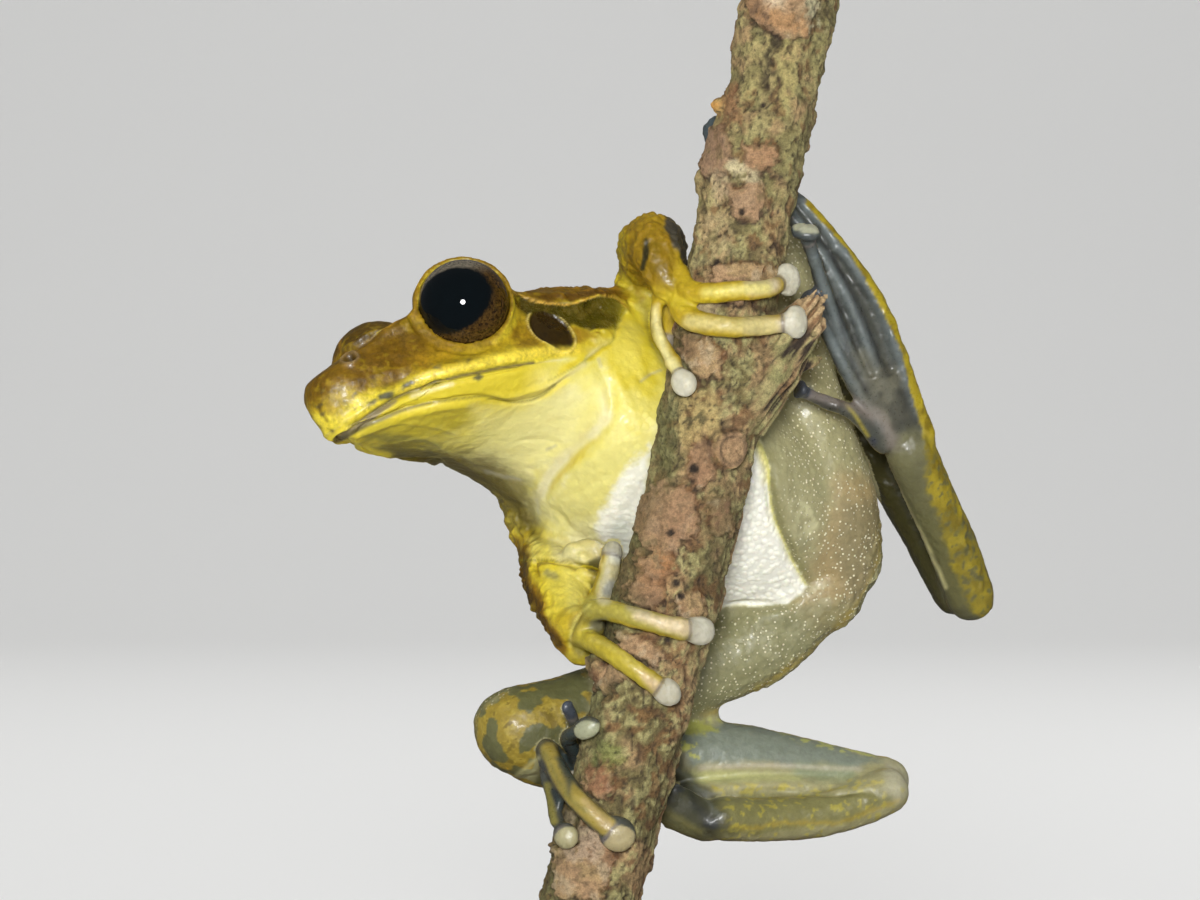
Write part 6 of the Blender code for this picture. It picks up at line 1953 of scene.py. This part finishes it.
def dress_stem():
    stem, scar = stem_core()
    remeshed(stem, STEM_VOXEL)
    points, normals = points_of(stem), normals_of(stem)
    tree = tree_of(stem)
    low, high = points[:, 2].min(), points[:, 2].max()
    cut = (np.abs(normals[:, 2]) > 0.8) & ((points[:, 2] < low + 0.5) | (points[:, 2] > high - 0.5))
    x, y = in_frame(points)
    stretched = points * np.array([1.0, 1.0, 0.5])
    broad = ripple(points, 5.0, 1.0)
    lump = ripple(points, 1.6, 12.0)
    rough = ripple(points, 0.55, 2.2, 3)
    fine = ripple(points, 0.3, 5.0)
    front = points[:, 1] < STEM_Y + 0.5
    in_plate = 16 * (ripple(stretched, 2.6, 4.4, 3) - 0.28) - 20 * front
    x_wavy, y_wavy = x + 4 * rough + 3 * fine, y + 5 * rough + 3 * ripple(points, 0.7, 61.0)
    for corners in PLATES:
        inside = frame_area(x_wavy, y_wavy, corners)
        in_plate = np.maximum(in_plate, np.where(front, inside, -9))
    # Painted shadow: the band just under each plate's lower edge, which is also sunk a little.
    below = np.full(len(points), -16.0)
    for corners in PLATES:
        below = np.maximum(below, frame_area(x_wavy + 1, y_wavy - 5, corners))
    shadow_under_plate = smooth_step(-1.0, 1.5, below) * smooth_step(0.5, -1.5, in_plate) * front
    plate = smooth_step(-1.0, 1.4, in_plate)
    rim = bump(in_plate - 0.5, 2.2)
    fissure = np.abs(ripple(points * np.array([1.0, 1.0, 0.22]), 0.75, 31.0))
    crack = smooth_step(0.09, 0.0, fissure) * (1 - plate)
    flake = np.abs(ripple(points * np.array([1.0, 1.0, 0.6]), 1.5, 83.0))
    flake = smooth_step(0.05, 0.0, flake) * (1 - plate)
    on_stub = smooth_step(5.5, 7.5, points[:, 0] - 0.25 * (points[:, 2] - 48)) * (
        points[:, 2] > 47)
    grain = ripple(np.stack([points[:, 0] - 0.8 * points[:, 2], points[:, 1],
                             0.12 * points[:, 2]], axis=1), 0.42, 23.0)
    middling = ripple(points * np.array([1.0, 1.0, 0.75]), 0.95, 71.0, 1)
    push = (0.19 * plate + 0.08 * rim - 0.15 * shadow_under_plate + 0.08 * rough * (1 - 0.6 * plate) - 0.12 * crack
            - 0.12 * flake + 0.12 * lump + 0.12 * middling * (1 - 0.5 * plate) + 0.03 * fine * (1 - plate))
    for path, depth_of, width in ((STEM_CRACK, 0.4, 0.25),
                                  ([(700, 220), (704, 250), (700, 280)], 0.2, 0.25)):
        push -= depth_of * bump(frame_line(x_wavy, y_wavy, path) / PIXELS, width) * (points[:, 1] < STEM_Y)
    for px, py, wide, tall in ((672, 536, 0.55, 0.2), (654, 562, 1.0, 0.16)):
        spot = traced(tree, [(px, py)])[0]
        push += tall * bump(np.linalg.norm(points - spot, axis=1), wide)
    push += 0.5 * bump(points[:, 2] - 37.5, 4.5) * smooth_step(-0.2, -0.9, normals[:, 0])
    shreds = ripple(np.stack([(points[:, 0] - 0.8 * points[:, 2]) * 0.9, points[:, 1],
                              0.3 * points[:, 2]], axis=1), 0.8, 53.0)
    push = push * (1 - on_stub) + (0.14 * grain + 0.26 * shreds) * on_stub
    holes = np.full(len(points), 9.0)
    for px, py, size in STEM_HOLES:
        spot = traced(tree, [(px, py)])[0]
        holes = np.minimum(holes, np.linalg.norm(points - spot, axis=1) / size)
    push -= 0.32 * bump(holes, 0.9)
    facing_out = stem_normal(scar)
    away = points - scar
    spread = np.linalg.norm(away - (away @ facing_out)[:, None] * facing_out, axis=1)
    spread[np.abs(away @ facing_out) > 1.2] = 9
    push += 0.16 * bump(spread - 1.05, 0.16) - 0.14 * smooth_step(0.95, 0.7, spread)
    push -= 0.12 * bump(spread - 1.45, 0.2)
    push[cut] *= 0.15
    points = points + push[:, None] * normals
    put_points(stem, points * MM)

    tan, pink = np.array((0.34, 0.23, 0.105)), np.array((0.36, 0.225, 0.115))
    plum, rust = np.array((0.25, 0.135, 0.070)), np.array((0.17, 0.070, 0.022))
    moss, lichen = np.array((0.155, 0.125, 0.045)), np.array((0.36, 0.33, 0.14))
    dark, wood = np.array((0.030, 0.019, 0.011)), np.array((0.45, 0.31, 0.16))
    green = np.array((0.27, 0.235, 0.090))

    hollow = rough + 0.9 * middling + 0.3 * fine
    colours = blend(np.tile(moss, (len(points), 1)), tan, smooth_step(-0.3, 0.4, broad + 0.8 * lump))
    upper = smooth_step(330, 120, y) * (y > 10)
    other_ripple = ripple(points, 1.2, 19.0)
    colours = blend(colours, green, 0.75 * upper * smooth_step(-0.3, 0.3, other_ripple + 0.2))
    # Pale lichen tone on the raised bark: partly lichen, partly painted light on the raised places.
    colours = blend(colours, lichen, (0.7 - 0.4 * upper) * smooth_step(0.1, 0.6, hollow - 0.2 * broad))
    colours = blend(colours, rust, 0.6 * smooth_step(0.2, 0.5, other_ripple - 0.3 * hollow - 0.2 * upper))
    surface = blend(np.tile(tan, (len(points), 1)), pink, smooth_step(-0.3, 0.4, lump + 0.5 * fine))
    surface = blend(surface, plum, 0.8 * smooth_step(0.0, 0.5, broad - 0.4 * lump))
    surface = blend(surface, (0.40, 0.32, 0.20), 0.6 * smooth_step(0.2, 0.6, middling + 0.4 * fine))
    colours = blend(colours, surface, 0.95 * plate)
    # Painted shade: darker where the bark's relief is lower.
    colours = blend(colours, dark, 0.4 * smooth_step(-0.3, -0.9, hollow))
    colours = blend(colours, rust, 0.75 * bump(in_plate + 1.5, 1.8))
    # A dark ring round each plate: partly a crack's own dark, partly painted shade at the plate's foot.
    colours = blend(colours, dark, 0.5 * bump(in_plate + 2.6, 1.2) * (lump > -0.2))
    # Painted shadow under each plate.
    colours = blend(colours, dark, 0.75 * shadow_under_plate)
    # Dark in the fissures and flakes: partly their own dark, partly painted shade in these grooves.
    colours = blend(colours, dark, 0.8 * crack)
    colours = blend(colours, dark, 0.6 * flake)
    front = points[:, 1] < STEM_Y + 0.5

    def patch_of(corners, soft=4):
        return smooth_step(-soft, soft, frame_area(x_wavy, y_wavy, corners)) * front

    for corners, tint, much in STEM_PATCHES:
        colours = blend(colours, tint, much * patch_of(corners) * smooth_step(-0.7, -0.2, hollow))
    # The long crack darkened: partly its own dark, partly painted shade in its groove.
    colours = blend(colours, dark, 0.9 * bump(frame_line(x_wavy, y_wavy, STEM_CRACK), 4.0) * front)
    colours = blend(colours, (0.50, 0.24, 0.05), 0.8 * bump(np.hypot(x - 714, y - 106), 8.0) * front)
    left_edge = smooth_step(-0.3, -0.9, normals[:, 0]) * (y > 330)
    colours = blend(colours, np.array((0.09, 0.095, 0.03)), 0.5 * left_edge * (1 - 0.5 * plate))
    specks = smooth_step(0.48, 0.7, ripple(points, 0.24, 44.0, 1))
    colours = blend(colours, dark, 0.8 * specks * (1 - 0.75 * plate))
    # Painted shade: the small pits of the bark are dark inside.
    colours = blend(colours, dark, smooth_step(1.15, 0.7, holes))
    fibres = blend(np.tile(tan * 0.8, (len(points), 1)), lichen, 0.8 * smooth_step(0.0, 0.5, grain))
    fibres = blend(fibres, (0.19, 0.19, 0.07), 0.6 * smooth_step(0.0, 0.4, other_ripple))
    fibres = blend(fibres, (0.17, 0.08, 0.03), 0.6 * smooth_step(0.1, 0.5, lump - 0.3 * grain))
    # Painted shade: the broken twig is dark where its shreds are lowest.
    fibres = blend(fibres, dark, smooth_step(-0.05, -0.5, grain + 0.8 * shreds))
    colours = blend(colours, fibres, on_stub)
    torn = smooth_step(7.4, 9.0, points[:, 0] - 8 + 0.9 * (points[:, 2] - 47))
    colours = blend(colours, blend(np.tile(wood, (len(points), 1)), rust, 0.7 * smooth_step(
        0.1, 0.5, -grain + 0.4 * fine)), 0.9 * torn * on_stub)
    colours = blend(colours, pink, 0.9 * smooth_step(1.2, 0.95, spread))
    # Painted shade: dark rings inside the scar's raised rim and in the groove round it.
    colours = blend(colours, dark, 0.6 * bump(spread - 0.88, 0.08) + 0.6 * bump(spread - 1.4, 0.12))
    ring = np.hypot(points[:, 0] - np.interp(points[:, 2], [p[1] for p in STEM_LINE],
                                             [p[0] for p in STEM_LINE]), points[:, 1] - STEM_Y)
    sawn = wood * (0.86 + 0.14 * np.sin(ring * 14 + 2 * lump))[:, None]
    colours[cut] = sawn[cut]
    set_paint(stem, colours)
    stem.data.shade_smooth()
    stem.data.materials.append(bark_material())
    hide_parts("perch_stem")
    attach(stem, "root")


dress_stem()


# Stand

def wood_material():
    made = bpy.data.materials.new("stained_wood")
    tree, shader = nodes_of(made)
    place = millimetres(tree)
    longer = node(tree, "ShaderNodeVectorMath", operation="MULTIPLY")
    longer.inputs[1].default_value = (0.06, 1.0, 1.0)
    tree.links.new(place, longer.inputs[0])
    grain = noise_at(tree, longer.outputs[0], 0.55, 6, 0.6)
    pores = noise_at(tree, longer.outputs[0], 5.0, 3, 0.6)
    colour = ramp(tree, grain, [(0.3, (0.028, 0.013, 0.006)), (0.5, (0.075, 0.035, 0.015)),
                                (0.68, (0.13, 0.065, 0.028))])
    colour = mix(tree, ramp(tree, pores, [(0.35, 0.7), (0.5, 0.0)]), colour, (0.015, 0.007, 0.004))
    tree.links.new(colour, shader.inputs["Base Color"])
    tree.links.new(ramp(tree, pores, [(0.3, 0.75), (0.7, 0.55)]), shader.inputs["Roughness"])
    relief = node(tree, "ShaderNodeBump", Strength=0.25, Distance=0.0001)
    tree.links.new(pores, relief.inputs["Height"])
    tree.links.new(relief.outputs["Normal"], shader.inputs["Normal"])
    shader.inputs["Specular IOR Level"].default_value = 0.3
    return made


def steel_material():
    made = bpy.data.materials.new("brushed_steel")
    tree, shader = nodes_of(made)
    place = millimetres(tree)
    flat_way = node(tree, "ShaderNodeVectorMath", operation="MULTIPLY")
    flat_way.inputs[1].default_value = (0.3, 0.3, 9.0)
    tree.links.new(place, flat_way.inputs[0])
    lines = noise_at(tree, flat_way.outputs[0], 3.0, 3, 0.6)
    tree.links.new(ramp(tree, lines, [(0.3, (0.42, 0.42, 0.43)), (0.7, (0.62, 0.62, 0.63))]),
                   shader.inputs["Base Color"])
    tree.links.new(ramp(tree, lines, [(0.3, 0.38), (0.7, 0.24)]), shader.inputs["Roughness"])
    shader.inputs["Metallic"].default_value = 0.55
    return made


for name, material in (("stand_base", wood_material()), ("stand_rod", steel_material())):
    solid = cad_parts[name]
    solid.data.materials.clear()
    solid.data.materials.append(material)


# Floor, light and camera

def plain(name, colour, rough):
    made = bpy.data.materials.new(name)
    shader = nodes_of(made)[1]
    shader.inputs["Base Color"].default_value = (*colour, 1)
    shader.inputs["Roughness"].default_value = rough
    return made


# The floor, in metres: its front edge, where it starts to rise, its bend, and its top
FLOOR_FRONT, FLOOR_BACK, FLOOR_BEND, WALL_TOP, FLOOR_HALF = -1.6, 0.9, 0.5, 2.2, 2.4


def sweep():
    """The pale floor, which curves up behind the model."""
    profile = [(FLOOR_FRONT, 0.0), (FLOOR_BACK, 0.0)]
    for turn in np.linspace(0, math.pi / 2, 13)[1:]:
        profile.append((FLOOR_BACK + FLOOR_BEND * math.sin(turn),
                        FLOOR_BEND - FLOOR_BEND * math.cos(turn)))
    profile.append((FLOOR_BACK + FLOOR_BEND, WALL_TOP))
    points = [(x, y, z) for y, z in profile for x in (-FLOOR_HALF, FLOOR_HALF)]
    faces = [(2 * i, 2 * i + 1, 2 * i + 3, 2 * i + 2) for i in range(len(profile) - 1)]
    floor = mesh_object("floor", points, faces)
    floor.data.shade_smooth()
    floor.data.materials.append(plain("floor", (0.80, 0.80, 0.79), 0.9))
    floor.visible_glossy = False


def area_light(name, place, size, power, aim=(0, -0.005, 0.045), mirrored_in_gloss=False):
    data = bpy.data.lights.new(name, "AREA")
    data.shape = "DISK"
    data.size = size
    data.energy = power
    light = bpy.data.objects.new(name, data)
    bpy.context.scene.collection.objects.link(light)
    light.location = place
    light.visible_glossy = mirrored_in_gloss
    way = Vector(aim) - Vector(place)
    light.rotation_euler = way.to_track_quat("-Z", "Y").to_euler()


# The key stands by the camera as the photograph's flash does, and alone shows in the gloss
sweep()
area_light("key", (-0.015, -0.36, 0.10), 0.07, 1.4, mirrored_in_gloss=True)
area_light("side", (-0.5, -0.15, 0.45), 0.5, 0.9)
area_light("rear", (0.45, 0.35, 0.5), 0.4, 1.1)
area_light("backdrop", (0.0, 0.45, 1.1), 0.8, 9.0, aim=(0, 0.9, 0.1))
world = bpy.data.worlds.new("studio")
world.use_nodes = True
world.node_tree.nodes["Background"].inputs["Color"].default_value = (1, 1, 1, 1)
world.node_tree.nodes["Background"].inputs["Strength"].default_value = 0.1
bpy.context.scene.world = world
bpy.context.scene.view_settings.view_transform = "Standard"

lens = bpy.data.cameras.new("camera")
lens.lens = LENS
lens.sensor_width = SENSOR
lens.sensor_fit = "HORIZONTAL"
lens.clip_start = 0.01
lens.clip_end = 20
camera = bpy.data.objects.new("camera", lens)
bpy.context.scene.collection.objects.link(camera)
camera.location = CAMERA * MM
camera.rotation_euler = (math.pi / 2, 0, 0)
bpy.context.scene.camera = camera
